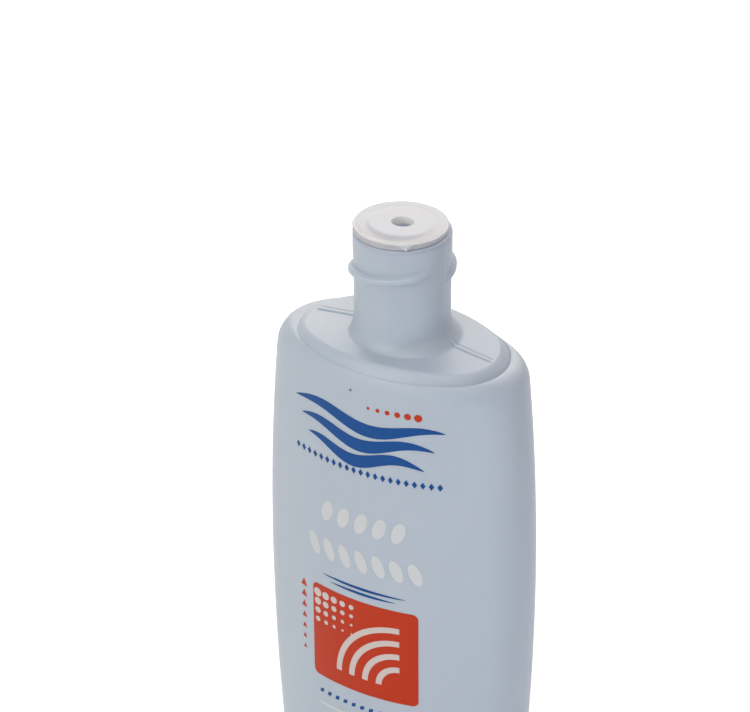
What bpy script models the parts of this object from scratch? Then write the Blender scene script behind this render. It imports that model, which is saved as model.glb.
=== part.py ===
"""Blow-moulded sun lotion bottle with its cap off, as four separate pieces.

The pieces are the one-piece bottle (oval body, stepped shoulder, threaded neck), the orifice reducer
pressed into the neck, the sliver of peel-off seal film left on the reducer's rim, and the lotion inside.
Lengths are metres, angles are radians, +Z is up and -Y is the front. The origin is the middle of the
base. Each skin is a stack of rings with the same number of points, joined ring by ring.
"""

import math

import bmesh
import bpy

POINTS_ROUND = 48
SHARP_EDGE = math.radians(38)

# Body, measured on the outside
BODY_WIDTH = 0.0540
BODY_DEPTH = 0.0300
SIDE_RADIUS = 0.0103
WIDEST_HEIGHT = 0.048
WALL_HEIGHT = 0.0895
FOOT_NARROWING = 0.0043
SHOULDER_NARROWING = 0.0039
FOOT_THINNING = 0.0008
SHOULDER_THINNING = 0.0012
SIDE_WALL = 0.0009
ROUND_END_SHARE = 0.88

# Base
FOOT_RADIUS = 0.003
LAND_WIDTH = 0.002
PUSH_UP_RUN = 0.0018
PUSH_UP = 0.0011
BASE_WALL = 0.0012

# Shoulder: a ledge all round, a crease, a step and a plateau that falls away from the neck
SHOULDER_RISE = 0.0041
LEDGE_AT_ENDS = 0.00425
LEDGE_AT_FRONT = 0.00065
LEDGE_END_RADIUS = 0.011
STEP_RUN_AT_ENDS = 0.00145
STEP_RUN_AT_FRONT = 0.0024
PLATEAU_END_RADIUS = 0.0098
PLATEAU_RISE = 0.0024
PLATEAU_FALL = math.radians(7.2)
SHOULDER_CURVE_POWER = 2.5
STEP_CURVE_POWER = 1.1

# Neck
NECK_RADIUS = 0.00875
NECK_RISE = 0.0203
NECK_WALL = 0.00155
FLARE_RISE = 0.0047
FLARE_SPREAD = 0.00165
FLARE_ROOM_SHARE = 0.96
COLLAR_STEP = 0.00015
RIM_ROUNDING = 0.0003

# Thread: two starts, each from a parting plane round one face of the bottle
THREAD_STARTS = 2
THREAD_FOOT = 0.01235
THREAD_LEAD = 0.0081
THREAD_WIDTH = 0.002
THREAD_DEPTH = 0.001
THREAD_CREST_SHARE = 0.35
THREAD_SWEEP = math.radians(158)
THREAD_RUN_IN = math.radians(45)
THREAD_RUN_OUT = math.radians(30)
THREAD_RING_PITCH = 0.0004

# Orifice reducer
SEAT_GAP = 0.0001
SKIRT_CLEARANCE = 0.0001
SKIRT_WALL = 0.0009
SKIRT_LENGTH = 0.0090
SKIRT_BEAD = 0.00015
SKIRT_BEAD_PITCH = 0.0022
SKIRT_LEAD_IN = 0.0005
FLANGE_THICKNESS = 0.0013
FLANGE_SET_BACK = 0.00025
FLANGE_TAPER = 0.00015
FLANGE_EDGE = 0.00015
WEB_THICKNESS = 0.0014
BOSS_RADIUS = 0.0052
BOSS_SLOPE = 0.0009
BOSS_RISE = 0.00054
HOLE_RADIUS = 0.00216
HOLE_EDGE = 0.0001

# Seal film remnant
FILM_GAP = 0.00005
FILM_THICKNESS = 0.00015
FILM_WIDTH = 0.0008
FILM_OVERHANG = 0.0001
FILM_RAGGEDNESS = 0.0002
FILM_FROM = math.radians(-152)
FILM_TO = math.radians(-46)
FILM_STATIONS = 25
FILM_WAVES = 3.5

# Lotion
CONTENTS_GAP = 0.0003
HEADSPACE = 0.0162

# Rings used for each stretch of a skin
WALL_RINGS = 8
ROUNDING_RINGS = 6
FOOT_RINGS = 4
PLATEAU_RINGS = 3
FLARE_RINGS = 5
STEP_RINGS = 3

# Heights that follow from the sizes above
CREASE_HEIGHT = WALL_HEIGHT + SHOULDER_RISE
PLATEAU_HEIGHT = CREASE_HEIGHT + PLATEAU_RISE
FLARE_TOP = PLATEAU_HEIGHT + FLARE_RISE
RIM_HEIGHT = PLATEAU_HEIGHT + NECK_RISE
FILL_HEIGHT = WALL_HEIGHT - HEADSPACE
BORE_RADIUS = NECK_RADIUS - NECK_WALL
COLLAR_RADIUS = NECK_RADIUS + COLLAR_STEP


def turns():
    """Angles of the points of a ring, from +X."""
    return [math.tau * i / POINTS_ROUND for i in range(POINTS_ROUND)]


def oval_point(half_length, half_depth, end_radius, turn):
    """Point of an oval made of two long arcs and two round ends.

    The point's direction is an ellipse's, so that points lie closer together on the round ends.
    """
    end_radius = min(end_radius, ROUND_END_SHARE * half_depth)
    direction = math.atan2(half_depth * math.sin(turn), half_length * math.cos(turn))
    along = abs(math.cos(direction))
    across = abs(math.sin(direction))
    end_centre = half_length - end_radius
    arc_radius = (end_centre**2 + half_depth**2 - end_radius**2) / (2 * (half_depth - end_radius))
    arc_centre = arc_radius - half_depth
    joint = math.atan2(arc_centre, end_centre)
    joint_x = end_centre + end_radius * math.cos(joint)
    joint_y = end_radius * math.sin(joint)
    if across * joint_x < along * joint_y:
        reach = end_centre * along + math.sqrt(end_radius**2 - (end_centre * across) ** 2)
    else:
        reach = math.sqrt(arc_radius**2 - (arc_centre * along) ** 2) - arc_centre * across
    return reach * math.cos(direction), reach * math.sin(direction)


def oval_ring(half_length, half_depth, end_radius, height):
    """Level ring on an oval."""
    ring = []
    for turn in turns():
        x, y = oval_point(half_length, half_depth, end_radius, turn)
        ring.append((x, y, height))
    return ring


def round_ring(radius, height):
    """Level ring on a circle."""
    return [(radius * math.cos(turn), radius * math.sin(turn), height) for turn in turns()]


def body_halves(height):
    """Half width and half depth of the body at a height, without the shoulder's rounding."""
    if height > WIDEST_HEIGHT:
        away = (height - WIDEST_HEIGHT) / (WALL_HEIGHT - WIDEST_HEIGHT)
        narrowing = SHOULDER_NARROWING
        thinning = SHOULDER_THINNING
    else:
        away = (WIDEST_HEIGHT - height) / WIDEST_HEIGHT
        narrowing = FOOT_NARROWING
        thinning = FOOT_THINNING
    half_width = (BODY_WIDTH - narrowing * away**2) / 2
    half_depth = (BODY_DEPTH - thinning * away**2) / 2
    return half_width, half_depth


def body_ring(height, inset, level):
    """Ring on the body's outline at a height, drawn in by an inset and set at a level."""
    half_width, half_depth = body_halves(height)
    return oval_ring(half_width - inset, half_depth - inset, SIDE_RADIUS - inset, level)


def base_rings(inset, lift):
    """Rings from the push-up in the middle of the base out to the top of the foot's rounding."""
    corner = FOOT_RADIUS - inset
    land = FOOT_RADIUS + LAND_WIDTH
    rings = [
        body_ring(0, land + PUSH_UP_RUN, lift + PUSH_UP),
        body_ring(0, land, lift),
    ]
    for i in range(FOOT_RINGS + 1):
        angle = math.pi / 2 * i / FOOT_RINGS
        level = lift + corner * (1 - math.cos(angle))
        rings.append(body_ring(level, FOOT_RADIUS - corner * math.sin(angle), level))
    return rings


def wall_rings(bottom, top, inset):
    """Rings up the side wall between two heights, both left out."""
    rings = []
    for i in range(1, WALL_RINGS):
        height = bottom + (top - bottom) * i / WALL_RINGS
        rings.append(body_ring(height, inset, height))
    return rings


def crease_oval():
    """Half length, half depth and end radius of the crease at the foot of the step."""
    half_width, half_depth = body_halves(CREASE_HEIGHT)
    return half_width - LEDGE_AT_ENDS, half_depth - LEDGE_AT_FRONT, LEDGE_END_RADIUS


def shoulder_rings(inset):
    """Rings over the shoulder's rounding, from the top of the side wall to the crease."""
    crease = oval_ring(*[size - inset for size in crease_oval()], 0)
    top = SHOULDER_RISE - inset
    rings = []
    for i in range(ROUNDING_RINGS + 1):
        angle = math.pi / 2 * i / ROUNDING_RINGS
        rise = math.sin(angle) ** (2 / SHOULDER_CURVE_POWER)
        out = math.cos(angle) ** (2 / SHOULDER_CURVE_POWER) if i < ROUNDING_RINGS else 0
        level = WALL_HEIGHT + top * rise
        wall = body_ring(level, inset, level)
        ledge = body_ring(CREASE_HEIGHT, inset, level)
        rings.append([
            (w[0] - (1 - out) * (e[0] - c[0]), w[1] - (1 - out) * (e[1] - c[1]), level)
            for w, e, c in zip(wall, ledge, crease)
        ])
    return rings


def flare_foot(edge_point, inset, turn):
    """Point where the neck's flare meets the plateau, kept inside the plateau's edge."""
    room = math.hypot(*edge_point) * FLARE_ROOM_SHARE
    radius = min(NECK_RADIUS + FLARE_SPREAD - inset, room)
    return radius * math.cos(turn), radius * math.sin(turn)


def plateau_level(x, y):
    """Height of the plateau, which falls away evenly from the flare."""
    out = math.hypot(x, y) - (NECK_RADIUS + FLARE_SPREAD)
    return PLATEAU_HEIGHT - out * math.tan(PLATEAU_FALL)


def plateau_oval():
    """Half length, half depth and end radius of the plateau's edge at the top of the step."""
    length, depth, _ = crease_oval()
    return length - STEP_RUN_AT_ENDS, depth - STEP_RUN_AT_FRONT, PLATEAU_END_RADIUS


def step_rings(inset):
    """Rings up the step, from just inside the crease to the plateau's edge."""
    crease = oval_ring(*[size - inset for size in crease_oval()], 0)
    edge = oval_ring(*[size - inset for size in plateau_oval()], 0)
    foot = CREASE_HEIGHT - inset
    rings = []
    for i in range(1, STEP_RINGS + 1):
        share = 1 - math.cos(math.pi / 2 * i / STEP_RINGS)
        rise = (1 - (1 - share) ** STEP_CURVE_POWER) ** (1 / STEP_CURVE_POWER)
        rings.append([
            (c[0] + (e[0] - c[0]) * share, c[1] + (e[1] - c[1]) * share, foot + rise * (top - inset - foot))
            for c, e in zip(crease, edge)
            for top in [plateau_level(e[0], e[1])]
        ])
    return rings


def plateau_rings(edge, inset):
    """Rings over the plateau, from just inside its edge to the foot of the flare."""
    rings = []
    for i in range(1, PLATEAU_RINGS + 1):
        share = i / PLATEAU_RINGS
        ring = []
        for (x, y, _), turn in zip(edge, turns()):
            foot_x, foot_y = flare_foot((x, y), inset, turn)
            inner_x = x + (foot_x - x) * share
            inner_y = y + (foot_y - y) * share
            ring.append((inner_x, inner_y, plateau_level(inner_x, inner_y) - inset))
        rings.append(ring)
    return rings


def flare_rings(foot, neck_radius):
    """Rings up the hollow curve from the plateau to the straight neck."""
    rings = []
    for i in range(1, FLARE_RINGS + 1):
        share = i / FLARE_RINGS
        ring = []
        for (x, y, level), turn in zip(foot, turns()):
            spread = math.hypot(x, y) - neck_radius
            radius = neck_radius + spread * (1 - share) ** 2
            height = level + (FLARE_TOP - level) * share
            ring.append((radius * math.cos(turn), radius * math.sin(turn), height))
        rings.append(ring)
    return rings


def thread_stand_out(turn, height):
    """How far the thread stands out of the neck at an angle and at a height above the plateau."""
    stand_out = 0
    for start in range(THREAD_STARTS):
        run = (turn + math.pi - math.tau * start / THREAD_STARTS) % math.tau
        if run > THREAD_SWEEP:
            continue
        middle = THREAD_FOOT + THREAD_LEAD * run / math.tau
        off = abs(height - middle) / (THREAD_WIDTH / 2)
        flank = min(max((off - THREAD_CREST_SHARE) / (1 - THREAD_CREST_SHARE), 0), 1)
        section = (1 + math.cos(math.pi * flank)) / 2
        ends = min(run / THREAD_RUN_IN, (THREAD_SWEEP - run) / THREAD_RUN_OUT, 1)
        stand_out = max(stand_out, THREAD_DEPTH * section * math.sin(math.pi / 2 * ends))
    return stand_out


def thread_top():
    """Height above the plateau at which the thread has run out."""
    return THREAD_FOOT + THREAD_LEAD * THREAD_SWEEP / math.tau + THREAD_WIDTH / 2


def neck_rings():
    """Rings up the outside of the neck, over the thread, to the rim."""
    bottom = THREAD_FOOT - THREAD_WIDTH / 2
    count = max(round((thread_top() - bottom) / THREAD_RING_PITCH), 1)
    rings = []
    for i in range(count + 1):
        share = i / count
        above = bottom + (thread_top() - bottom) * share
        plain = NECK_RADIUS + COLLAR_STEP * share
        rings.append([
            (radius * math.cos(turn), radius * math.sin(turn), PLATEAU_HEIGHT + above)
            for turn in turns()
            for radius in [plain + thread_stand_out(turn, above)]
        ])
    rings.append(round_ring(COLLAR_RADIUS, RIM_HEIGHT - RIM_ROUNDING))
    rings.append(round_ring(COLLAR_RADIUS - RIM_ROUNDING, RIM_HEIGHT))
    return rings


def bottle_rings():
    """All rings of the bottle, from the middle of its base, up outside, and down inside."""
    outside = base_rings(0, 0)
    outside += wall_rings(FOOT_RADIUS, WALL_HEIGHT, 0)
    outside += shoulder_rings(0)
    outside += step_rings(0)
    outside += plateau_rings(outside[-1], 0)
    outside += flare_rings(outside[-1], NECK_RADIUS)
    outside += neck_rings()
    inside = base_rings(SIDE_WALL, BASE_WALL)
    inside += wall_rings(FOOT_RADIUS, WALL_HEIGHT, SIDE_WALL)
    inside += shoulder_rings(SIDE_WALL)
    inside += step_rings(SIDE_WALL)
    inside += plateau_rings(inside[-1], SIDE_WALL)
    inside += flare_rings(inside[-1], BORE_RADIUS)
    inside.append(round_ring(BORE_RADIUS, RIM_HEIGHT - RIM_ROUNDING))
    inside.append(round_ring(BORE_RADIUS + RIM_ROUNDING, RIM_HEIGHT))
    return outside + inside[::-1]


def lotion_rings():
    """All rings of the lotion, from the middle of its underside to its level surface."""
    inset = SIDE_WALL + CONTENTS_GAP
    rings = base_rings(inset, BASE_WALL + CONTENTS_GAP)
    rings += wall_rings(FOOT_RADIUS, FILL_HEIGHT, inset)
    rings.append(body_ring(FILL_HEIGHT, inset, FILL_HEIGHT))
    return rings


def reducer_rings():
    """Rings of the reducer, heights counted from the neck's rim, round its whole section."""
    flange_foot = SEAT_GAP
    flange_top = flange_foot + FLANGE_THICKNESS
    boss_top = flange_top + BOSS_RISE
    web_foot = flange_top - WEB_THICKNESS
    flange_radius = COLLAR_RADIUS - FLANGE_SET_BACK
    top_radius = flange_radius - FLANGE_TAPER
    bead_radius = BORE_RADIUS - SKIRT_CLEARANCE
    skirt_radius = bead_radius - SKIRT_BEAD
    skirt_inside = skirt_radius - SKIRT_WALL
    skirt_foot = flange_foot - SKIRT_LENGTH
    upper_bead = skirt_foot + SKIRT_LEAD_IN + 2 * SKIRT_BEAD_PITCH
    lower_bead = skirt_foot + SKIRT_LEAD_IN + SKIRT_BEAD_PITCH
    section = [
        (HOLE_RADIUS, web_foot),
        (HOLE_RADIUS, boss_top - HOLE_EDGE),
        (HOLE_RADIUS + HOLE_EDGE, boss_top),
        (BOSS_RADIUS, boss_top),
        (BOSS_RADIUS + BOSS_SLOPE / 2, flange_top + BOSS_RISE / 2),
        (BOSS_RADIUS + BOSS_SLOPE, flange_top),
        (top_radius - FLANGE_EDGE, flange_top),
        (top_radius, flange_top - FLANGE_EDGE),
        (flange_radius, flange_foot),
        (bead_radius, flange_foot),
        (bead_radius, flange_foot - SKIRT_BEAD_PITCH / 2),
        (skirt_radius, flange_foot - SKIRT_BEAD_PITCH / 2 - SKIRT_BEAD),
    ]
    for middle in (upper_bead, lower_bead):
        section += [
            (skirt_radius, middle + SKIRT_BEAD_PITCH / 4),
            (bead_radius, middle),
            (skirt_radius, middle - SKIRT_BEAD_PITCH / 4),
        ]
    section += [
        (skirt_radius, skirt_foot + SKIRT_LEAD_IN),
        (skirt_radius - SKIRT_WALL / 2, skirt_foot),
        (skirt_inside, skirt_foot),
        (skirt_inside, web_foot - SKIRT_LEAD_IN),
        (skirt_inside - SKIRT_LEAD_IN, web_foot),
    ]
    return [round_ring(radius, height) for radius, height in section]


def skin(name, rings, material, is_loop):
    """Closed mesh over a stack of rings.

    A loop joins its last ring to its first. Otherwise both ends close on a point in their middle.
    """
    mesh = bmesh.new()
    rows = [[mesh.verts.new(point) for point in ring] for ring in rings]
    pairs = list(zip(rows, rows[1:] + rows[:1])) if is_loop else list(zip(rows, rows[1:]))
    for lower, upper in pairs:
        for i in range(POINTS_ROUND):
            j = (i + 1) % POINTS_ROUND
            mesh.faces.new((lower[i], lower[j], upper[j], upper[i]))
    if not is_loop:
        for row in (rows[0], rows[-1]):
            middle = mesh.verts.new((0, 0, row[0].co.z))
            for i in range(POINTS_ROUND):
                mesh.faces.new((row[i], row[(i + 1) % POINTS_ROUND], middle))
    return add_object(name, mesh, material)


def film_mesh():
    """Thin ragged strip along the front of the reducer's rim, heights counted from the neck's rim."""
    top_radius = COLLAR_RADIUS - FLANGE_SET_BACK - FLANGE_TAPER
    low = SEAT_GAP + FLANGE_THICKNESS + FILM_GAP
    high = low + FILM_THICKNESS
    outer = top_radius + FILM_OVERHANG
    mesh = bmesh.new()
    rows = []
    for i in range(FILM_STATIONS):
        share = i / (FILM_STATIONS - 1)
        turn = FILM_FROM + (FILM_TO - FILM_FROM) * share
        swell = math.sin(math.pi * share)
        ragged = FILM_RAGGEDNESS * math.sin(math.tau * FILM_WAVES * share)
        inner = outer - FILM_WIDTH * (1 + swell) / 2 + ragged * swell
        corners = ((inner, low), (outer, low), (outer, high), (inner, high))
        rows.append([mesh.verts.new((r * math.cos(turn), r * math.sin(turn), z)) for r, z in corners])
    for row, following in zip(rows, rows[1:]):
        for i in range(len(row)):
            j = (i + 1) % len(row)
            mesh.faces.new((row[i], row[j], following[j], following[i]))
    mesh.faces.new(rows[0])
    mesh.faces.new(rows[-1])
    return mesh


def add_object(name, mesh, material):
    """Object from a finished bmesh, with its faces turned outwards and its round parts smooth."""
    bmesh.ops.recalc_face_normals(mesh, faces=mesh.faces)
    data = bpy.data.meshes.new(name)
    mesh.to_mesh(data)
    mesh.free()
    data.shade_smooth()
    data.set_sharp_from_angle(angle=SHARP_EDGE)
    data.materials.append(material)
    piece = bpy.data.objects.new(name, data)
    bpy.context.scene.collection.objects.link(piece)
    return piece


def plastic(name, colour, roughness, transmission):
    """Plain moulded plastic or liquid."""
    material = bpy.data.materials.new(name)
    material.use_nodes = True
    shader = material.node_tree.nodes["Principled BSDF"]
    shader.inputs["Base Color"].default_value = (*colour, 1)
    shader.inputs["Roughness"].default_value = roughness
    shader.inputs["Metallic"].default_value = 0
    shader.inputs["Transmission Weight"].default_value = transmission
    return material


def clear_scene():
    """Removes every object."""
    for item in list(bpy.data.objects):
        bpy.data.objects.remove(item, do_unlink=True)


def main():
    clear_scene()
    skin("bottle", bottle_rings(), plastic("pale blue plastic", (0.52, 0.59, 0.68), 0.38, 0), False)
    skin("lotion", lotion_rings(), plastic("white lotion", (0.86, 0.84, 0.78), 0.25, 0), False)
    reducer = skin(
        "orifice_reducer",
        reducer_rings(),
        plastic("natural plastic", (0.74, 0.73, 0.72), 0.45, 0.1),
        True,
    )
    reducer.location = (0, 0, RIM_HEIGHT)
    film = add_object("seal_film_remnant", film_mesh(), plastic("white film", (0.8, 0.8, 0.82), 0.3, 0))
    film.parent = reducer


main()
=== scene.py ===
"""Squeeze bottle of sun lotion with its cap off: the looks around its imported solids.

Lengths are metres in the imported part's frame: +Z is up, -Y is the printed front and the origin is the
middle of the base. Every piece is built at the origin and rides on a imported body.
"""

import logging
import math
from collections.abc import Callable, Sequence
from dataclasses import dataclass
from enum import Enum
from functools import partial

import bpy
from bpy.types import Material, Node, NodeSocket, NodeTree, Object
from mathutils import Matrix, Vector


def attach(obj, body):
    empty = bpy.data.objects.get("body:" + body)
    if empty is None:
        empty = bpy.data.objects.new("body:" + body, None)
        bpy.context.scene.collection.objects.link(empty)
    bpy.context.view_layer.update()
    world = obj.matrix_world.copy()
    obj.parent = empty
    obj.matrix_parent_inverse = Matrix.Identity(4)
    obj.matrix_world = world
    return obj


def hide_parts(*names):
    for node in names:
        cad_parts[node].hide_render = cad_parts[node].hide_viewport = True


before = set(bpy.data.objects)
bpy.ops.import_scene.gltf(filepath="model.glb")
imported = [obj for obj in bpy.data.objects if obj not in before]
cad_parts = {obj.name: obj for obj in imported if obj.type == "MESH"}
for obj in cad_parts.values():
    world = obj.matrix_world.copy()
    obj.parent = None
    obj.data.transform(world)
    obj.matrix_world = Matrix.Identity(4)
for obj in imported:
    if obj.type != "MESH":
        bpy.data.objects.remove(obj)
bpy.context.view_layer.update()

WELD = 2e-6
SHARP_DEGREES = 40.0
FULL_CIRCLE = math.tau
QUARTER = math.pi / 2
NOISE_MIDDLE = 0.5

Colour = tuple[float, float, float]
BLACK: Colour = (0.0, 0.0, 0.0)
WHITE: Colour = (1.0, 1.0, 1.0)

log = logging.getLogger("bottle")


class Body(Enum):
    """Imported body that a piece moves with."""

    BOTTLE = "bottle"
    REDUCER = "reducer"


class Slot(Enum):
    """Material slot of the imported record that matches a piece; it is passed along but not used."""

    BOTTLE = "bottle_plastic"
    LOTION = "lotion"
    NATURAL = "natural_plastic"
    FILM = "seal_film"


def seen(red: int, green: int, blue: int) -> Colour:
    """Linear colour of a screen colour with levels from 0 to 255."""
    shares = [level / 255 for level in (red, green, blue)]
    return tuple(share / 12.92 if share <= 0.04045 else ((share + 0.055) / 1.055) ** 2.4 for share in shares)


def shaded(colour: Colour, factor: float) -> Colour:
    """Colour made lighter or darker by a factor."""
    return tuple(value * factor for value in colour)


def clamped(value: float) -> float:
    """Number kept between 0 and 1."""
    return min(max(value, 0.0), 1.0)


def configured(thing: object, **values: object) -> object:
    """Thing with its properties set."""
    for name, value in values.items():
        setattr(thing, name, value)
    return thing


def added(name: str, data: bpy.types.ID) -> Object:
    """New object of the scene for a mesh, a lamp or a camera."""
    thing = bpy.data.objects.new(name, data)
    bpy.context.scene.collection.objects.link(thing)
    return thing


# Maths written as nodes


def operator(operation: str, swapped: bool = False) -> Callable:
    """Method of a field that places one Math node.

    Args:
        operation: Name of the node's operation.
        swapped: Puts the other value first.

    Returns:
        The method.
    """

    def method(self: "Field", other: "Field | float") -> "Field":
        """Value of the node."""
        return maths(operation, other, self) if swapped else maths(operation, self, other)

    return method


@dataclass(eq=False)
class Field:
    """Value that changes from point to point, kept as the output of a node."""

    socket: NodeSocket

    __add__, __radd__ = operator("ADD"), operator("ADD", swapped=True)
    __sub__, __rsub__ = operator("SUBTRACT"), operator("SUBTRACT", swapped=True)
    __mul__, __rmul__ = operator("MULTIPLY"), operator("MULTIPLY", swapped=True)
    __truediv__, __rtruediv__ = operator("DIVIDE"), operator("DIVIDE", swapped=True)
    __pow__ = operator("POWER")
    __lt__, __gt__ = operator("LESS_THAN"), operator("GREATER_THAN")


Value = Field | float
Pair = tuple[Field, Field]
Point = tuple[Value, Value, Value]
Place = Callable[[Field, Field], Point]


def plug(value: object, socket: NodeSocket) -> None:
    """Feeds an input.

    Args:
        value: Field, output socket or plain value.
        socket: Input.
    """
    source = value.socket if isinstance(value, Field) else value
    if isinstance(source, NodeSocket):
        socket.id_data.links.new(source, socket)
    else:
        socket.default_value = source


def maths(operation: str, *values: Value) -> Field:
    """One Math node.

    Args:
        operation: Name of the node's operation.
        values: Its inputs in order, at least one of them a field.

    Returns:
        The node's value.
    """
    tree = next(value.socket.id_data for value in values if isinstance(value, Field))
    node = tree.nodes.new("ShaderNodeMath")
    node.operation = operation
    for value, socket in zip(values, node.inputs):
        plug(value, socket)
    return Field(node.outputs[0])


sine, cosine, root, magnitude, lesser, greater = (
    partial(maths, operation) for operation in ("SINE", "COSINE", "SQRT", "ABSOLUTE", "MINIMUM", "MAXIMUM")
)


def distance(across: Field, along: Field) -> Field:
    """Length of a step with two parts at right angles."""
    return root(across * across + along * along)


def around(turn: Field, radius: Field) -> Pair:
    """Point of a circle at an angle."""
    return radius * cosine(turn), radius * sine(turn)


def limited(value: Field) -> Field:
    """Value kept between 0 and 1."""
    return lesser(greater(value, 0.0), 1.0)


def between(start: Value, end: Value, share: Field) -> Field:
    """Value from a start, for a share of 0, to an end, for a share of 1."""
    return start + (end - start) * share


def on_line(start: Pair, end: Pair, share: Field) -> Pair:
    """Point of the straight line between two points."""
    return between(start[0], end[0], share), between(start[1], end[1], share)


def eased(value: Field) -> Field:
    """Share that starts and stops gently, from 0 to 1."""
    share = limited(value)
    return share * share * (3.0 - 2.0 * share)


def ramp(inside: Field, steepness: float, start: float = 0.0) -> Field:
    """Mask that starts at an edge and rises with the distance inside it, by its steepness in a metre."""
    return limited(inside * steepness + start)


def bump_of(away: Field, width: Value) -> Field:
    """Bell curve over a distance, 1 in its middle and about a third at its width."""
    share = away / width
    return maths("EXPONENT", share * share * -1.0)


class Nodes:
    """Node tree with short ways to add to it."""

    position = ("ShaderNodeTexCoord", "Object")

    def __init__(self, tree: NodeTree) -> None:
        """Takes over a tree."""
        self.tree = tree

    def node(self, kind: str, values: dict[str | int, object] | None = None, **settings: object) -> Node:
        """Adds a node.

        Args:
            kind: Type of the node.
            values: Inputs by name or number.
            settings: Properties of the node.

        Returns:
            The node.
        """
        node = configured(self.tree.nodes.new(kind), **settings)
        for name, value in (values or {}).items():
            plug(value, node.inputs[name])
        return node

    def made(self, kind: str, values: dict[str | int, object] | None = None, **settings: object) -> NodeSocket:
        """First output of a new node."""
        return self.node(kind, values, **settings).outputs[0]

    def parts(self, vector: NodeSocket) -> tuple[Field, Field, Field]:
        """The three parts of a vector."""
        outputs = self.node("ShaderNodeSeparateXYZ", {"Vector": vector}).outputs
        return tuple(Field(outputs[axis]) for axis in "XYZ")

    def place(self) -> tuple[Field, Field, Field]:
        """The three coordinates of each point."""
        kind, output = self.position
        return self.parts(self.node(kind).outputs[output])

    def vector(self, x: Value, y: Value, z: Value) -> NodeSocket:
        """Vector made of three values."""
        return self.made("ShaderNodeCombineXYZ", {"X": x, "Y": y, "Z": z})

    def noise(self, scale: Value, stretch: tuple[float, float, float] = (1, 1, 1), detail: float = 3.0) -> Field:
        """Smooth noise from 0 to 1 on the stretched coordinates, with its waves in a metre and finer layers."""
        where = self.vector(*(value * factor for value, factor in zip(self.place(), stretch)))
        return Field(self.made("ShaderNodeTexNoise", {"Vector": where, "Scale": scale, "Detail": detail}))

    def seeded_noise(self, where: NodeSocket, scale: float, seed: float) -> Field:
        """Smooth noise from 0 to 1 on a vector, where the seed picks the pattern."""
        values = {"Vector": where, "W": seed, "Scale": scale, "Detail": 2.0}
        return Field(self.made("ShaderNodeTexNoise", values, noise_dimensions="4D"))


# Trees that grow meshes


def titled(name: str) -> str:
    """Title of the input for a size."""
    return name.replace("_", " ").capitalize()


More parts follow.
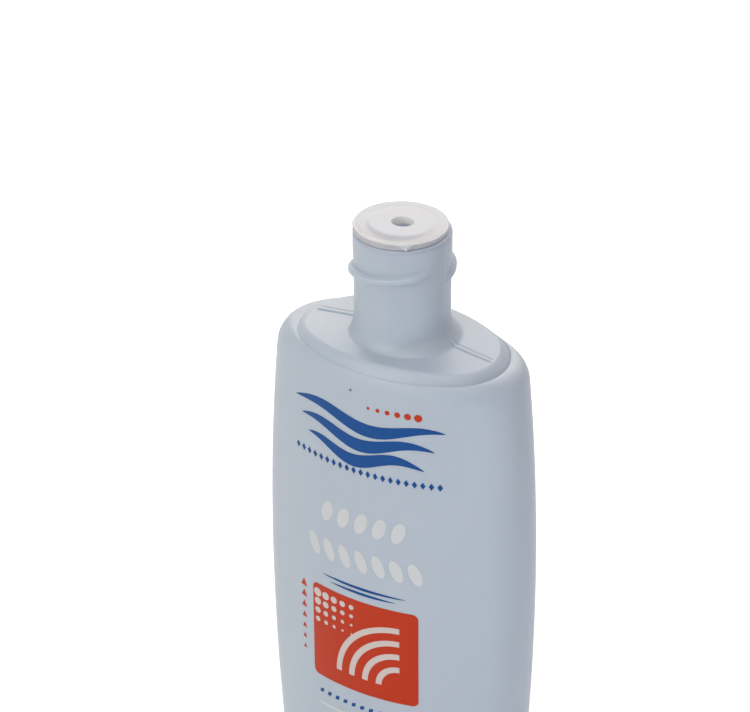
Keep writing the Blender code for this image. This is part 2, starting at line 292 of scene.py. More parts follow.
class GeometryTree(Nodes):
    """Geometry Nodes tree with one named input for each size that it uses."""

    position = ("GeometryNodeInputPosition", "Position")

    def __init__(self, name: str) -> None:
        """Starts an empty tree."""
        super().__init__(bpy.data.node_groups.new(name, "GeometryNodeTree"))
        self.tree.interface.new_socket("Geometry", in_out="OUTPUT", socket_type="NodeSocketGeometry")
        self.inputs = self.node("NodeGroupInput")
        self.identifiers: dict[str, str] = {}

    def size(self, owner: object, name: str) -> Field:
        """Input for one size, made the first time.

        Args:
            owner: Instance of a dataclass.
            name: One of its fields.

        Returns:
            The input.
        """
        if name not in self.identifiers:
            kind = "NodeSocketInt" if isinstance(getattr(owner, name), int) else "NodeSocketFloat"
            socket = self.tree.interface.new_socket(titled(name), in_out="INPUT", socket_type=kind)
            self.identifiers[name] = socket.identifier
        return Field(self.inputs.outputs[titled(name)])

    def ended(self, part: NodeSocket) -> None:
        """Feeds the tree's output."""
        self.node("NodeGroupOutput", {"Geometry": part})

    def placed(self, part: "GeometryTree", owner: object) -> NodeSocket:
        """Geometry of another, ended tree, put in this one as a group with the owner's sizes."""
        values = {titled(name): self.size(owner, name) for name in part.identifiers}
        return self.made("GeometryNodeGroup", values, node_tree=part.tree)

    def moved(self, part: NodeSocket, **where: NodeSocket) -> NodeSocket:
        """Part with its points put at a Position, or moved by an Offset."""
        return self.made("GeometryNodeSetPosition", {"Geometry": part, **where})

    def scaled(self, vector: NodeSocket, factor: Field) -> NodeSocket:
        """Vector times a factor."""
        return self.made("ShaderNodeVectorMath", {0: vector, "Scale": factor}, operation="SCALE")

    def sheet(self, columns: int, rows: int, place: Place) -> NodeSocket:
        """Grid whose points are put where a rule says.

        Args:
            columns: Faces along the first direction.
            rows: Faces along the second direction.
            place: Gives a point's coordinates from its shares, 0 to 1, of both directions.

        Returns:
            The geometry.
        """
        values = {"Size X": 1.0, "Size Y": 1.0, "Vertices X": columns + 1, "Vertices Y": rows + 1}
        grid = self.made("GeometryNodeMeshGrid", values)
        across, along, _ = self.place()
        return self.moved(grid, Position=self.vector(*place(across + 0.5, along + 0.5)))

    def joined(self, parts: Sequence[NodeSocket]) -> NodeSocket:
        """Parts made one mesh, welded where they meet."""
        join = self.node("GeometryNodeJoinGeometry")
        for part in parts:
            plug(part, join.inputs["Geometry"])
        return self.made("GeometryNodeMergeByDistance", {"Geometry": join.outputs[0], "Distance": WELD})

    def flipped(self, part: NodeSocket) -> NodeSocket:
        """Part with its faces turned round."""
        return self.made("GeometryNodeFlipFaces", {"Mesh": part})

    def thickened(self, part: NodeSocket, thickness: Field) -> NodeSocket:
        """Closed plate over a sheet, grown along its normals."""
        grown = self.made("GeometryNodeExtrudeMesh", {"Mesh": part, "Offset Scale": thickness, "Individual": False})
        return self.joined([grown, self.flipped(part)])

    def grow(self, name: str, owner: object, part: NodeSocket, finish: Material) -> Object:
        """Ends the tree and turns what it makes into a plain mesh at the origin.

        Args:
            name: Name of the piece.
            owner: Dataclass whose numbers feed the inputs.
            part: Geometry that ends the tree.
            finish: Material of the piece.

        Returns:
            The piece.
        """
        real = self.made("GeometryNodeRealizeInstances", {"Geometry": part})
        self.ended(self.made("GeometryNodeSetMaterial", {"Geometry": real, "Material": finish}))
        piece = added(name, bpy.data.meshes.new(name))
        modifier = piece.modifiers.new("Grow", "NODES")
        modifier.node_group = self.tree
        for size, identifier in self.identifiers.items():
            modifier[identifier] = getattr(owner, size)
        evaluated = piece.evaluated_get(bpy.context.evaluated_depsgraph_get())
        mesh = bpy.data.meshes.new_from_object(evaluated)
        piece.modifiers.remove(modifier)
        piece.data = mesh
        return piece


@dataclass
class Sizes:
    """Sizes of a dataclass as the named inputs of a tree, each made when it is first asked for."""

    tree: GeometryTree
    owner: object

    def __getattr__(self, name: str) -> Field:
        """Input for one size."""
        return self.tree.size(self.owner, name)


def finished(
    piece: Object,
    body: Body,
    slot: Slot | None = None,
    stands_for: str | None = None,
    sharp_degrees: float = SHARP_DEGREES,
) -> Object:
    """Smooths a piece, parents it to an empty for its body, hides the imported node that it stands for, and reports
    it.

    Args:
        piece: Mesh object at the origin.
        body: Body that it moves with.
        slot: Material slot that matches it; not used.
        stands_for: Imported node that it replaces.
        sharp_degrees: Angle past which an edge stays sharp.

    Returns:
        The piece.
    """
    piece.data.shade_smooth()
    piece.data.set_sharp_from_angle(angle=math.radians(sharp_degrees))
    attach(piece, body.value)
    if stands_for:
        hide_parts(stands_for)
    if slot:
        slot.value
    log.info("%s rides on %s with %d faces", piece.name, body.value, len(piece.data.polygons))
    return piece


# Surface effects shared by the finishes


class ShaderGroup(Nodes):
    """Shader node group that puts out masks and heights, built once and placed in many materials."""

    def __init__(self, name: str, inputs: dict[str, float] | None = None) -> None:
        """Starts the group.

        Args:
            name: Name of the group.
            inputs: Default value of each input by name.
        """
        super().__init__(bpy.data.node_groups.new(name, "ShaderNodeTree"))
        for title, value in (inputs or {}).items():
            socket = self.tree.interface.new_socket(title, in_out="INPUT", socket_type="NodeSocketFloat")
            socket.default_value = value
        self.inputs = self.node("NodeGroupInput")

    def given(self, title: str) -> Field:
        """Value of an input."""
        return Field(self.inputs.outputs[title])

    def ended(self, outputs: dict[str, Value]) -> NodeTree:
        """Group with its outputs fed, each by its name."""
        for title in outputs:
            self.tree.interface.new_socket(title, in_out="OUTPUT", socket_type="NodeSocketFloat")
        self.node("NodeGroupOutput", outputs)
        return self.tree


def moulded_skin() -> NodeTree:
    """Faint orange peel, mottling and drawn streaks of moulded plastic."""
    group = ShaderGroup("Moulded skin", {"Peel scale": 1100.0, "Streaks": 1.0})
    peel = group.noise(group.given("Peel scale"))
    mottle = group.noise(scale=85.0)
    broad_share, streak_share = 0.6, 0.4
    streak = group.noise(scale=420.0, stretch=(1, 1, 0.04), detail=2.0) * group.given("Streaks") * streak_share
    return group.ended({"Mottle": mottle * broad_share + streak, "Height": peel * broad_share + streak})


def handling_marks() -> NodeTree:
    """Short hair scratches in a few patches, and a few dust specks."""
    group = ShaderGroup("Handling marks", {"Scratches": 0.5, "Specks": 0.5})
    hair_width, unmarked, speck_size, plain_cells = 0.006, 0.56, 0.045, 0.965
    upright = group.noise(scale=620.0, stretch=(1, 1, 0.05), detail=1.0) - NOISE_MIDDLE
    level = group.noise(scale=560.0, stretch=(0.05, 0.05, 1), detail=1.0) - NOISE_MIDDLE
    hairs = greater(bump_of(upright, hair_width), bump_of(level, hair_width))
    patches = ramp(group.noise(scale=70.0) - unmarked, steepness=12.0)
    cells = group.node("ShaderNodeTexVoronoi", {"Vector": group.vector(*group.place()), "Scale": 150.0})
    grain = ramp(speck_size - Field(cells.outputs["Distance"]), steepness=60.0)
    chosen = group.parts(cells.outputs["Color"])[0] > plain_cells
    return group.ended({
        "Speck": grain * chosen * group.given("Specks"),
        "Scratch": hairs * patches * group.given("Scratches"),
    })


def turned_rings() -> NodeTree:
    """Fine rings round the upright axis, left by the turning of a mould."""
    group = ShaderGroup("Turned rings", {"Ring scale": 2600.0})
    x, y, _ = group.place()
    values = {"W": distance(x, y), "Scale": group.given("Ring scale")}
    return group.ended({"Height": Field(group.made("ShaderNodeTexNoise", values, noise_dimensions="1D"))})


def print_grain() -> NodeTree:
    """Pinholes and thin places in printed ink."""
    group = ShaderGroup("Print grain", {"Thin places": 0.5})
    pores = group.noise(scale=3200.0)
    cloud = group.noise(scale=420.0)
    pore_edge, pore_share, cloud_share = 0.60, 0.6, 0.4
    pinholes = ramp(pores - pore_edge, steepness=6.0) * pore_share
    thin = pinholes + ramp(cloud - NOISE_MIDDLE, steepness=2.0) * cloud_share
    return group.ended({"Thin": thin * group.given("Thin places"), "Height": pores})


@dataclass(frozen=True)
class Effects:
    """Node groups that the finishes share."""

    skin: NodeTree
    marks: NodeTree
    rings: NodeTree
    grain: NodeTree


class Surface(Nodes):
    """Material with one Principled shader, dressed step by step."""

    def __init__(self, name: str) -> None:
        """Starts the material."""
        self.material = bpy.data.materials.new(name)
        self.material.use_nodes = True
        super().__init__(self.material.node_tree)
        self.shader = self.tree.nodes["Principled BSDF"]

    def set(self, **values: object) -> None:
        """Sets or feeds inputs of the shader, with _ for a space."""
        for title, value in values.items():
            plug(value, self.shader.inputs[title.replace("_", " ")])

    def effect(self, group: NodeTree, **values: float) -> dict[str, Field]:
        """Places a shared group.

        Args:
            group: Node group.
            values: Inputs, with _ for a space.

        Returns:
            Its outputs by name.
        """
        inputs = {title.replace("_", " "): value for title, value in values.items()}
        node = self.node("ShaderNodeGroup", inputs, node_tree=group)
        return {socket.name: Field(socket) for socket in node.outputs}

    def mixed(self, share: Field, first: Colour | Field, second: Colour | Field) -> Field:
        """Colour between two colours.

        Args:
            share: 0 for the first and 1 for the second.
            first: Colour or field of colours.
            second: Colour or field of colours.

        Returns:
            The mixed colour.
        """
        node = self.node("ShaderNodeMix", {0: share}, data_type="RGBA")
        sockets = [socket for socket in node.inputs if socket.type == "RGBA"]
        for colour, socket in zip((first, second), sockets):
            plug(colour if isinstance(colour, Field) else (*colour, 1.0), socket)
        return Field(next(socket for socket in node.outputs if socket.type == "RGBA"))

    def bumped(self, height: Field, depth: float) -> None:
        """Feeds the normal from a field of heights, with the height of a value of 1."""
        self.set(Normal=self.made("ShaderNodeBump", {"Distance": depth, "Height": height}))


# Finishes


@dataclass(frozen=True)
class Tones:
    """Colours that take over where a piece has painted shade, painted highlights or dust, and a painted glow that
    stands in for light coming through the plastic.
    """

    masks: NodeTree
    # Colour of painted shade
    dark: Colour
    # Colour of painted highlights
    light: Colour
    dirt: Colour = (0.04, 0.05, 0.08)
    # Colours of a painted glow, in place of light coming through the plastic
    glow: Colour = BLACK
    deep_glow: Colour = BLACK

    def dress(self, surface: Surface, colour: Field) -> None:
        """Feeds the surface's colour, with painted shade, painted highlights and dust over it, and its painted glow.

        Args:
            surface: Surface to dress.
            colour: Colour of the plain plastic.
        """
        mask = surface.effect(self.masks)
        # Painted shade and painted highlights go over the plastic's colour, then dust; the emission is a painted glow
        with_painted_shade = surface.mixed(mask["Dark"], colour, self.dark)
        with_painted_highlight = surface.mixed(mask["Light"], with_painted_shade, self.light)
        lit = surface.mixed(mask["Glow"], BLACK, self.glow)
        surface.set(
            Base_Color=surface.mixed(mask["Dirt"], with_painted_highlight, self.dirt),
            Emission_Color=surface.mixed(mask["Deep glow"], lit, self.deep_glow),
            Emission_Strength=1.0,
        )


@dataclass(frozen=True)
class Finish:
    """Material of a kind of piece."""

    name: str
    colour: Colour

    def dress(self, surface: Surface, effects: Effects) -> None:
        """Feeds the surface's shader."""
        raise NotImplementedError

    def material(self, effects: Effects) -> Material:
        """Builds the material.

        Args:
            effects: Shared node groups.

        Returns:
            The material.
        """
        surface = Surface(self.name)
        self.dress(surface, effects)
        return surface.material


@dataclass(frozen=True)
class MouldedPlastic(Finish):
    """Satin moulded plastic that lets a little light in."""

    tones: Tones
    worn_colour: Colour
    roughness: float
    soft_share: float
    soft_reach: float
    peel_depth: float
    streaks: float = 0.0
    turned: bool = False
    mottle: float = 0.03
    scratches: float = 0.55
    scratch_depth: float = 0.8
    scratch_roughness: float = 0.15
    specks: float = 0.8
    roughening: float = 0.08
    peel_share_if_turned: float = 0.5
    soft_colour: Colour = (1.0, 1.05, 1.15)
    index: float = 1.5

    def dress(self, surface: Surface, effects: Effects) -> None:
        """Feeds the surface's shader."""
        skin = surface.effect(effects.skin, Streaks=self.streaks)
        marks = surface.effect(effects.marks, Scratches=self.scratches, Specks=self.specks)
        darker, lighter = shaded(self.colour, 1 - self.mottle), shaded(self.colour, 1 + self.mottle)
        base = surface.mixed(skin["Mottle"], darker, lighter)
        self.tones.dress(surface, surface.mixed(marks["Speck"], base, self.worn_colour))
        uneven = (skin["Mottle"] - NOISE_MIDDLE) * self.roughening
        surface.set(
            Roughness=uneven + marks["Scratch"] * self.scratch_roughness + self.roughness,
            Subsurface_Weight=self.soft_share,
            Subsurface_Radius=self.soft_colour,
            Subsurface_Scale=self.soft_reach,
            IOR=self.index,
        )
        height = skin["Height"] - marks["Scratch"] * self.scratch_depth
        if self.turned:
            height = height * self.peel_share_if_turned + surface.effect(effects.rings)["Height"]
        surface.bumped(height, self.peel_depth)


@dataclass(frozen=True)
class ThinFilm(Finish):
    """Clear peeled film with a wet gloss."""

    thin_places: float = 0.8
    thin_shade: float = 0.85
    roughness: float = 0.16
    roughening: float = 0.2
    clear_share: float = 0.25
    index: float = 1.48
    grain_depth: float = 2e-5

    def dress(self, surface: Surface, effects: Effects) -> None:
        """Feeds the surface's shader."""
        grain = surface.effect(effects.grain, Thin_places=self.thin_places)
        surface.set(
            Base_Color=surface.mixed(grain["Thin"], self.colour, shaded(self.colour, self.thin_shade)),
            Roughness=grain["Thin"] * self.roughening + self.roughness,
            Transmission_Weight=self.clear_share,
            IOR=self.index,
        )
        surface.bumped(grain["Height"], self.grain_depth)


@dataclass(frozen=True)
class Cream(Finish):
    """Smooth off-white lotion."""

    peel_scale: float = 300.0
    mottle_shade: float = 0.94
    roughness: float = 0.15
    roughening: float = 0.1
    soft_share: float = 0.3
    soft_reach: float = 0.002
    skin_depth: float = 1e-4

    def dress(self, surface: Surface, effects: Effects) -> None:
        """Feeds the surface's shader."""
        skin = surface.effect(effects.skin, Peel_scale=self.peel_scale, Streaks=0.0)
        surface.set(
            Base_Color=surface.mixed(skin["Mottle"], self.colour, shaded(self.colour, self.mottle_shade)),
            Roughness=skin["Mottle"] * self.roughening + self.roughness,
            Subsurface_Weight=self.soft_share,
            Subsurface_Scale=self.soft_reach,
        )
        surface.bumped(skin["Height"], self.skin_depth)


@dataclass(frozen=True)
class Ink(Finish):
    """Screen-printed ink, thin enough to let the plastic show in places."""

    under_colour: Colour
    roughness: float
    roughening: float = 0.15
    thin_places: float = 0.35
    gloss: float = 0.2
    grain_depth: float = 4e-6

    def dress(self, surface: Surface, effects: Effects) -> None:
        """Feeds the surface's shader."""
        grain = surface.effect(effects.grain, Thin_places=self.thin_places)
        surface.set(
            Base_Color=surface.mixed(grain["Thin"], self.colour, self.under_colour),
            Roughness=grain["Thin"] * self.roughening + self.roughness,
            Specular_IOR_Level=self.gloss,
        )
        surface.bumped(grain["Height"], self.grain_depth)


# The bottle's skin


class Side(Enum):
    """Surface that follows the bottle's shape."""

    OUTSIDE = "outside"
    INSIDE = "inside"
    FILL = "fill"


class SkinRule:
    """Where the points of one side of the bottle's wall lie, zone by zone, from the base up to the neck.

    Each zone gives a point from its angle round the bottle and its share of the way from foot to top.
    """

    def __init__(self, sizes: Sizes, side: Side) -> None:
        """Keeps the sizes and works out the heights that follow from them.

        Args:
            sizes: Sizes of the bottle.
            side: Side of the wall.
        """
        self.s = s = sizes
        self.inset, self.lift = (0.0, 0.0) if side is Side.OUTSIDE else (s.side_wall, s.base_wall)
        if side is Side.FILL:
            self.inset, self.lift = self.inset + s.contents_gap, self.lift + s.contents_gap
        self.neck = s.neck_radius if side is Side.OUTSIDE else s.bore_radius
        self.crease_height = s.wall_height + s.shoulder_rise
        self.plateau_height = self.crease_height + s.plateau_rise
        self.flare_top = self.plateau_height + s.flare_rise
        self.rim_height = self.plateau_height + s.neck_rise
        self.thread_bottom = self.plateau_height + s.thread_foot - s.thread_width / 2.0
        self.thread_end = self.thread_bottom + s.thread_lead * s.thread_sweep / FULL_CIRCLE + s.thread_width

    def halves(self, height: Value) -> Pair:
        """Half width and half depth of the body at a height."""
        s = self.s
        above = height > s.widest_height
        away = (height - s.widest_height) / between(s.widest_height, s.wall_height - s.widest_height, above)
        drawn_in = away * away
        width = s.body_width - between(s.foot_narrowing, s.shoulder_narrowing, above) * drawn_in
        depth = s.body_depth - between(s.foot_thinning, s.shoulder_thinning, above) * drawn_in
        return width / 2.0, depth / 2.0

    def oval(self, half_length: Field, half_depth: Field, end_radius: Field, turn: Field) -> Pair:
        """Point of an oval made of two long arcs and two round ends.

        Args:
            half_length: Half of its length.
            half_depth: Half of its depth.
            end_radius: Radius of its round ends.
            turn: Angle round it.

        Returns:
            The point's two coordinates.
        """
        end = lesser(end_radius, half_depth * self.s.round_end_share)
        direction = maths("ARCTAN2", half_depth * sine(turn), half_length * cosine(turn))
        x_part, y_part = cosine(direction), sine(direction)
        along, across = magnitude(x_part), magnitude(y_part)
        centre = half_length - end
        arc = (centre * centre + half_depth * half_depth - end * end) / ((half_depth - end) * 2.0)
        arc_centre = arc - half_depth
        reach_out = distance(centre, arc_centre)
        joint_x = centre + end * centre / reach_out
        joint_y = end * arc_centre / reach_out
        on_end = across * joint_x < along * joint_y
        off_end, off_arc = centre * across, arc_centre * along
        to_end = centre * along + root(end * end - off_end * off_end)
        to_arc = root(arc * arc - off_arc * off_arc) - arc_centre * across
        reach = between(to_arc, to_end, on_end)
        return reach * x_part, reach * y_part

    def body(self, height: Value, inset: Value, turn: Field) -> Pair:
        """Point on the body's outline at a height, drawn in by an inset."""
        half_width, half_depth = self.halves(height)
        return self.oval(half_width - inset, half_depth - inset, self.s.side_radius - inset, turn)

    def on_shoulder(self, at_ends: Field, at_front: Field, end_radius: Field, turn: Field) -> Pair:
        """Point of an oval that lies inside the body's outline at the crease's height."""
        half_width, half_depth = self.halves(self.crease_height)
        inset = self.inset
        return self.oval(half_width - at_ends - inset, half_depth - at_front - inset, end_radius - inset, turn)

    def crease(self, turn: Field) -> Pair:
        """Point of the crease at the foot of the step."""
        s = self.s
        x, y = self.on_shoulder(s.ledge_at_ends, s.ledge_at_front, s.ledge_end_radius, turn)
        return x + s.crease_shift, y

    def crease_dip(self, crease_x: Field, away: Field) -> Field:
        """Depth of the groove in the crease, which is deeper round the right end."""
        s = self.s
        depth = s.crease_depth * between(s.crease_least, 1.0, eased(crease_x / s.crease_end - 1.0))
        return depth * bump_of(away, s.crease_groove)

    def towards_ends(self, y: Field) -> Field:
        """1 at the ends of the bottle and 0 at its front."""
        return bump_of(y - self.s.end_centre, self.s.end_reach)

    def edge(self, turn: Field) -> Pair:
        """Point of the plateau's edge at the top of the step."""
        s = self.s
        run = between(s.step_run_at_front, s.step_run_at_back, sine(turn) > 0.0)
        at_ends, at_front = s.ledge_at_ends + s.step_run_at_ends, s.ledge_at_front + run
        return self.on_shoulder(at_ends, at_front, s.plateau_end_radius, turn)

    def plateau_level(self, x: Field, y: Field) -> Field:
        """Height of the plateau, which falls away evenly from the flare."""
        out = distance(x, y) - self.s.slope_start_radius
        return self.plateau_height - out * self.s.plateau_slope - self.inset

    def flare_foot(self, turn: Field) -> Point:
        """Point where the neck's flare meets the plateau."""
        s = self.s
        room = distance(*self.edge(turn)) * s.flare_room_share
        spread = s.flare_spread + s.flare_lean * cosine(turn) + s.flare_front * sine(turn) * sine(turn)
        x, y = around(turn, lesser(s.neck_radius + spread - self.inset, room))
        return x, y, self.plateau_level(x, y)

    def underside(self, turn: Field, share: Field) -> Point:
        """Push-up in the middle of the base and the land round it."""
        s = self.s
        land = s.foot_radius + s.land_width
        widest = land + s.push_up_run
        inset = widest - (widest - s.foot_radius) * limited(share * 2.0 - 1.0)
        x, y = self.body(0.0, inset, turn)
        spread = limited(share * 2.0)
        return x * spread, y * spread, self.lift + s.push_up * eased((inset - land) / s.push_up_run)

    def foot(self, turn: Field, share: Field) -> Point:
        """Rounding from the land up to the side wall."""
        angle = share * QUARTER
        corner = self.s.foot_radius - self.inset
        level = self.lift + corner * (1.0 - cosine(angle))
        return *self.body(level, self.s.foot_radius - corner * sine(angle), turn), level

    def side_up_to(self, top: Field, turn: Field, share: Field) -> Point:
        """Side of the body from the foot up to a height."""
        height = between(self.lift + self.s.foot_radius - self.inset, top, share)
        return *self.body(height, self.inset, turn), height

    def wall(self, turn: Field, share: Field) -> Point:
        """Side wall from the foot to the shoulder."""
        return self.side_up_to(self.s.wall_height, turn, share)

    def fill_side(self, turn: Field, share: Field) -> Point:
        """Side of the lotion up to its surface."""
        return self.side_up_to(self.s.fill_height, turn, share)

    def fill_surface(self, turn: Field, share: Field) -> Point:
        """Surface of the lotion, drawn up where it meets the wall."""
        s = self.s
        x, y = self.body(s.fill_height, self.inset, turn)
        left = 1.0 - share
        sunk = s.meniscus * (1.0 - maths("EXPONENT", share * s.meniscus_fall * -1.0))
        return x * left, y * left, s.fill_height - sunk

    def shoulder(self, turn: Field, share: Field) -> Point:
        """Rounding from the side wall in to the crease."""
        s = self.s
        angle = share * QUARTER
        crease_x, crease_y = self.crease(turn)
        flatness = 2.0 / between(s.front_curve_power, s.end_curve_power, self.towards_ends(crease_y))
        drawn_in = 1.0 - greater(cosine(angle), 0.0) ** flatness
        level = s.wall_height + (s.shoulder_rise - self.inset) * sine(angle) ** flatness
        level = level - self.crease_dip(crease_x, (1.0 - share) * 2.0)
        wall_x, wall_y = self.body(level, self.inset, turn)
        ledge_x, ledge_y = self.body(self.crease_height, self.inset, turn)
        return wall_x - drawn_in * (ledge_x - crease_x), wall_y - drawn_in * (ledge_y - crease_y), level

    def step(self, turn: Field, share: Field) -> Point:
        """Slope from the crease up to the plateau, hollow at its foot and rounded at its top."""
        s = self.s
        crease, edge = self.crease(turn), self.edge(turn)
        soft = s.crease_softness
        climb = (root(share * share + soft * soft) - soft) / (root(soft * soft + 1.0) - soft)
        power = between(s.step_power_at_front, s.step_power_at_ends, self.towards_ends(crease[1]))
        foot = self.crease_height - self.inset
        top = self.plateau_level(*edge)
        level = top - (top - foot) * greater(1.0 - climb, 0.0) ** power - self.crease_dip(crease[0], share)
        return *on_line(crease, edge, share), level

    def plateau(self, turn: Field, share: Field) -> Point:
        """Plateau from its edge to the foot of the flare."""
        x, y = on_line(self.edge(turn), self.flare_foot(turn)[:2], share)
        return x, y, self.plateau_level(x, y)

    def flare(self, turn: Field, share: Field) -> Point:
        """Hollow curve from the plateau up to the straight neck."""
        foot_x, foot_y, foot_level = self.flare_foot(turn)
        power = between(self.s.flare_power_at_ends, self.s.flare_power_at_front, sine(turn) * sine(turn))
        radius = self.neck + (distance(foot_x, foot_y) - self.neck) * greater(1.0 - share, 0.0) ** power
        return *around(turn, radius), between(foot_level, self.flare_top, share)

    def bare_neck(self, turn: Field, share: Field) -> Point:
        """Straight neck from the flare up to the thread."""
        return *around(turn, self.neck), between(self.flare_top, self.thread_bottom, share)

    def thread(self, turn: Field, share: Field) -> Point:
        """Neck where the screw thread winds round it."""
        level = between(self.thread_bottom, self.thread_end, share)
        return *around(turn, self.neck + self.s.collar_step * share + self.stand_out(turn, level)), level

    def stand_out(self, turn: Field, level: Field) -> Field:
        """How far the two starts of the thread stand out of the neck."""
        s = self.s
        most = 0.0
        for offset in (math.pi, 0.0):
            run = maths("FLOORED_MODULO", turn + offset, FULL_CIRCLE)
            middle = self.plateau_height + s.thread_foot + s.thread_lead * run / FULL_CIRCLE
            off = magnitude(level - middle) / (s.thread_width / 2.0)
            flank = limited((off - s.thread_crest_share) / (1.0 - s.thread_crest_share))
            section = (cosine(flank * math.pi) + 1.0) / 2.0
            ends = limited(lesser(run / s.thread_run_in, (s.thread_sweep - run) / s.thread_run_out))
            most = greater(most, s.thread_depth * section * sine(ends * QUARTER))
        return most

    def up_to_rim(self, start: Field, radius: Field, outwards: float, turn: Field, share: Field) -> Point:
        """Plain stretch of neck or bore with the rounding at the rim, which leans outwards for 1 and in for -1."""
        rounding = self.s.rim_rounding
        angle = limited(share * 2.0 - 1.0) * QUARTER
        level = between(start, self.rim_height - rounding, limited(share * 2.0)) + rounding * sine(angle)
        return *around(turn, radius + rounding * (1.0 - cosine(angle)) * outwards), level

    def collar(self, turn: Field, share: Field) -> Point:
        """Plain neck above the thread."""
        return self.up_to_rim(self.thread_end, self.neck + self.s.collar_step, -1.0, turn, share)

    def bore(self, turn: Field, share: Field) -> Point:
        """Inside of the neck from the flare up."""
        return self.up_to_rim(self.flare_top, self.neck, 1.0, turn, share)

    def rim(self, turn: Field, share: Field) -> Point:
        """Flat rim from the outside in to the bore's rounding."""
        s = self.s
        outer = self.neck + s.collar_step - s.rim_rounding
        return *around(turn, between(outer, s.bore_radius + s.rim_rounding, share)), self.rim_height


@dataclass
class BottleSkin:
    """One-piece blow-moulded bottle: oval body, stepped shoulder, threaded neck, and a wall all round."""

    body_width: float = 0.0540
    body_depth: float = 0.0300
    side_radius: float = 0.0103
    widest_height: float = 0.048
    wall_height: float = 0.0895
    foot_narrowing: float = 0.0043
    shoulder_narrowing: float = 0.0039
    foot_thinning: float = 0.0008
    shoulder_thinning: float = 0.0012
    side_wall: float = 0.0009
    base_wall: float = 0.0012
    round_end_share: float = 0.88
    foot_radius: float = 0.003
    land_width: float = 0.002
    push_up_run: float = 0.0018
    push_up: float = 0.0011
    shoulder_rise: float = 0.0041
    ledge_at_ends: float = 0.00398
    ledge_at_front: float = 0.00065
    ledge_end_radius: float = 0.011
    step_run_at_ends: float = 0.0020
    step_run_at_front: float = 0.0016
    step_run_at_back: float = 0.0024
    step_power_at_ends: float = 1.3
    step_power_at_front: float = 2.2
    plateau_end_radius: float = 0.0092
    plateau_rise: float = 0.0024
    plateau_slope: float = math.tan(math.radians(7.2))
    slope_start_radius: float = 0.0104
    end_curve_power: float = 2.85
    front_curve_power: float = 1.75
    end_centre: float = 0.0035
    end_reach: float = 0.0075
    crease_shift: float = 0.00016
    crease_softness: float = 0.08
    crease_depth: float = 0.0002
    crease_least: float = 0.3
    crease_groove: float = 0.07
    crease_end: float = 0.009
    neck_radius: float = 0.00875
    bore_radius: float = 0.0072
    neck_rise: float = 0.0208
    flare_rise: float = 0.0047
    flare_spread: float = 0.0016
    flare_lean: float = 0.0007
    flare_front: float = -0.0005
    flare_power_at_ends: float = 2.3
    flare_power_at_front: float = 4.2
    flare_room_share: float = 0.995
    collar_step: float = 0.00015
    rim_rounding: float = 0.00045
    thread_foot: float = 0.01243
    thread_lead: float = 0.0081
    thread_width: float = 0.0019
    thread_depth: float = 0.001
    thread_crest_share: float = 0.35
    thread_sweep: float = math.radians(158)
    thread_run_in: float = math.radians(45)
    thread_run_out: float = math.radians(30)
    seam_gathering: float = 0.72
    seam_height: float = 0.00004
    seam_width: float = 0.00018
    # Width of the painted highlight along the mould's seam on the neck
    seam_line: float = 0.00016
    ridge_offset: float = 0.00037
    ridge_slant: float = 0.015
    ridge_height: float = 0.00013
    ridge_width: float = 0.00032
    ridge_end: float = 0.0187
    ridge_narrowing: float = 0.0043
    ridge_flank: float = 0.00014
    ridge_fade: float = 0.0012
    ridge_end_fade: float = 0.0008
    groove_place: float = 0.00060
    groove_width: float = 0.00017
    groove_depth: float = 0.00015
    waviness: float = 0.00005
    waves: float = 55.0
    wave_seed: float = 3.0
    # Painted shade on a fine ring round the neck, in the ridge's grooves and under the plug; painted highlight on the
    # ridge's crest
    ring_rise: float = 0.0183
    ring_width: float = 0.00014
    ring_tone: float = 0.12
    groove_tone: float = 0.9
    crest_tone: float = 0.5
    crest_share: float = 0.8
    shade_under_plug: float = 0.0011
    shade_tone: float = 0.6
    specks: tuple[tuple[float, float, float, float], ...] = (
        (-0.0023, 0.08999, 0.00022, 1.5),
        (-0.00469, 0.08741, 0.00016, 0.15),
        (0.00682, 0.0887, 0.00016, 0.15),
    )
    contents_gap: float = 0.0003
    fill_height: float = 0.0733
    meniscus: float = 0.0007
    meniscus_fall: float = 9.0
    points_round: int = 256

    @property
    def plateau_height(self) -> float:
        """Height of the plateau where its slope starts."""
        return self.wall_height + self.shoulder_rise + self.plateau_rise

    @property
    def rim_height(self) -> float:
        """Height of the neck's rim."""
        return self.plateau_height + self.neck_rise

    def tones(self) -> NodeTree:
        """Where shade and highlights are painted on the bottle, and where dust sits on it.

        Returns:
            Group with a mask for each tone.
        """
        group = ShaderGroup("Bottle tones")
        x, y, z = group.place()
        on_plateau = ramp(self.ridge_end - magnitude(x), steepness=1500.0)
        on_plateau = on_plateau * ramp(self.plateau_height + self.ridge_fade / 2 - z, steepness=2000.0)
        on_plateau = on_plateau * (z > self.wall_height + self.shoulder_rise)
        off = magnitude(y - self.ridge_offset + x * self.ridge_slant) + x * self.ridge_narrowing
        # Painted shade in the grooves beside the parting ridge
        groove = bump_of(off - self.groove_place, self.groove_width) * on_plateau * self.groove_tone
        # Painted highlight along the crest of the parting ridge
        crest = bump_of(off, self.ridge_width * self.crest_share) * on_plateau * self.crest_tone
        # Painted shade of a slight groove ring round the neck
        ring = bump_of(z - (self.plateau_height + self.ring_rise), self.ring_width) * self.ring_tone
        # Painted shade on the neck's top, under the plug's flange
        painted_rim_shade = ramp(z - (self.rim_height - self.shade_under_plug), steepness=1200.0) * self.shade_tone
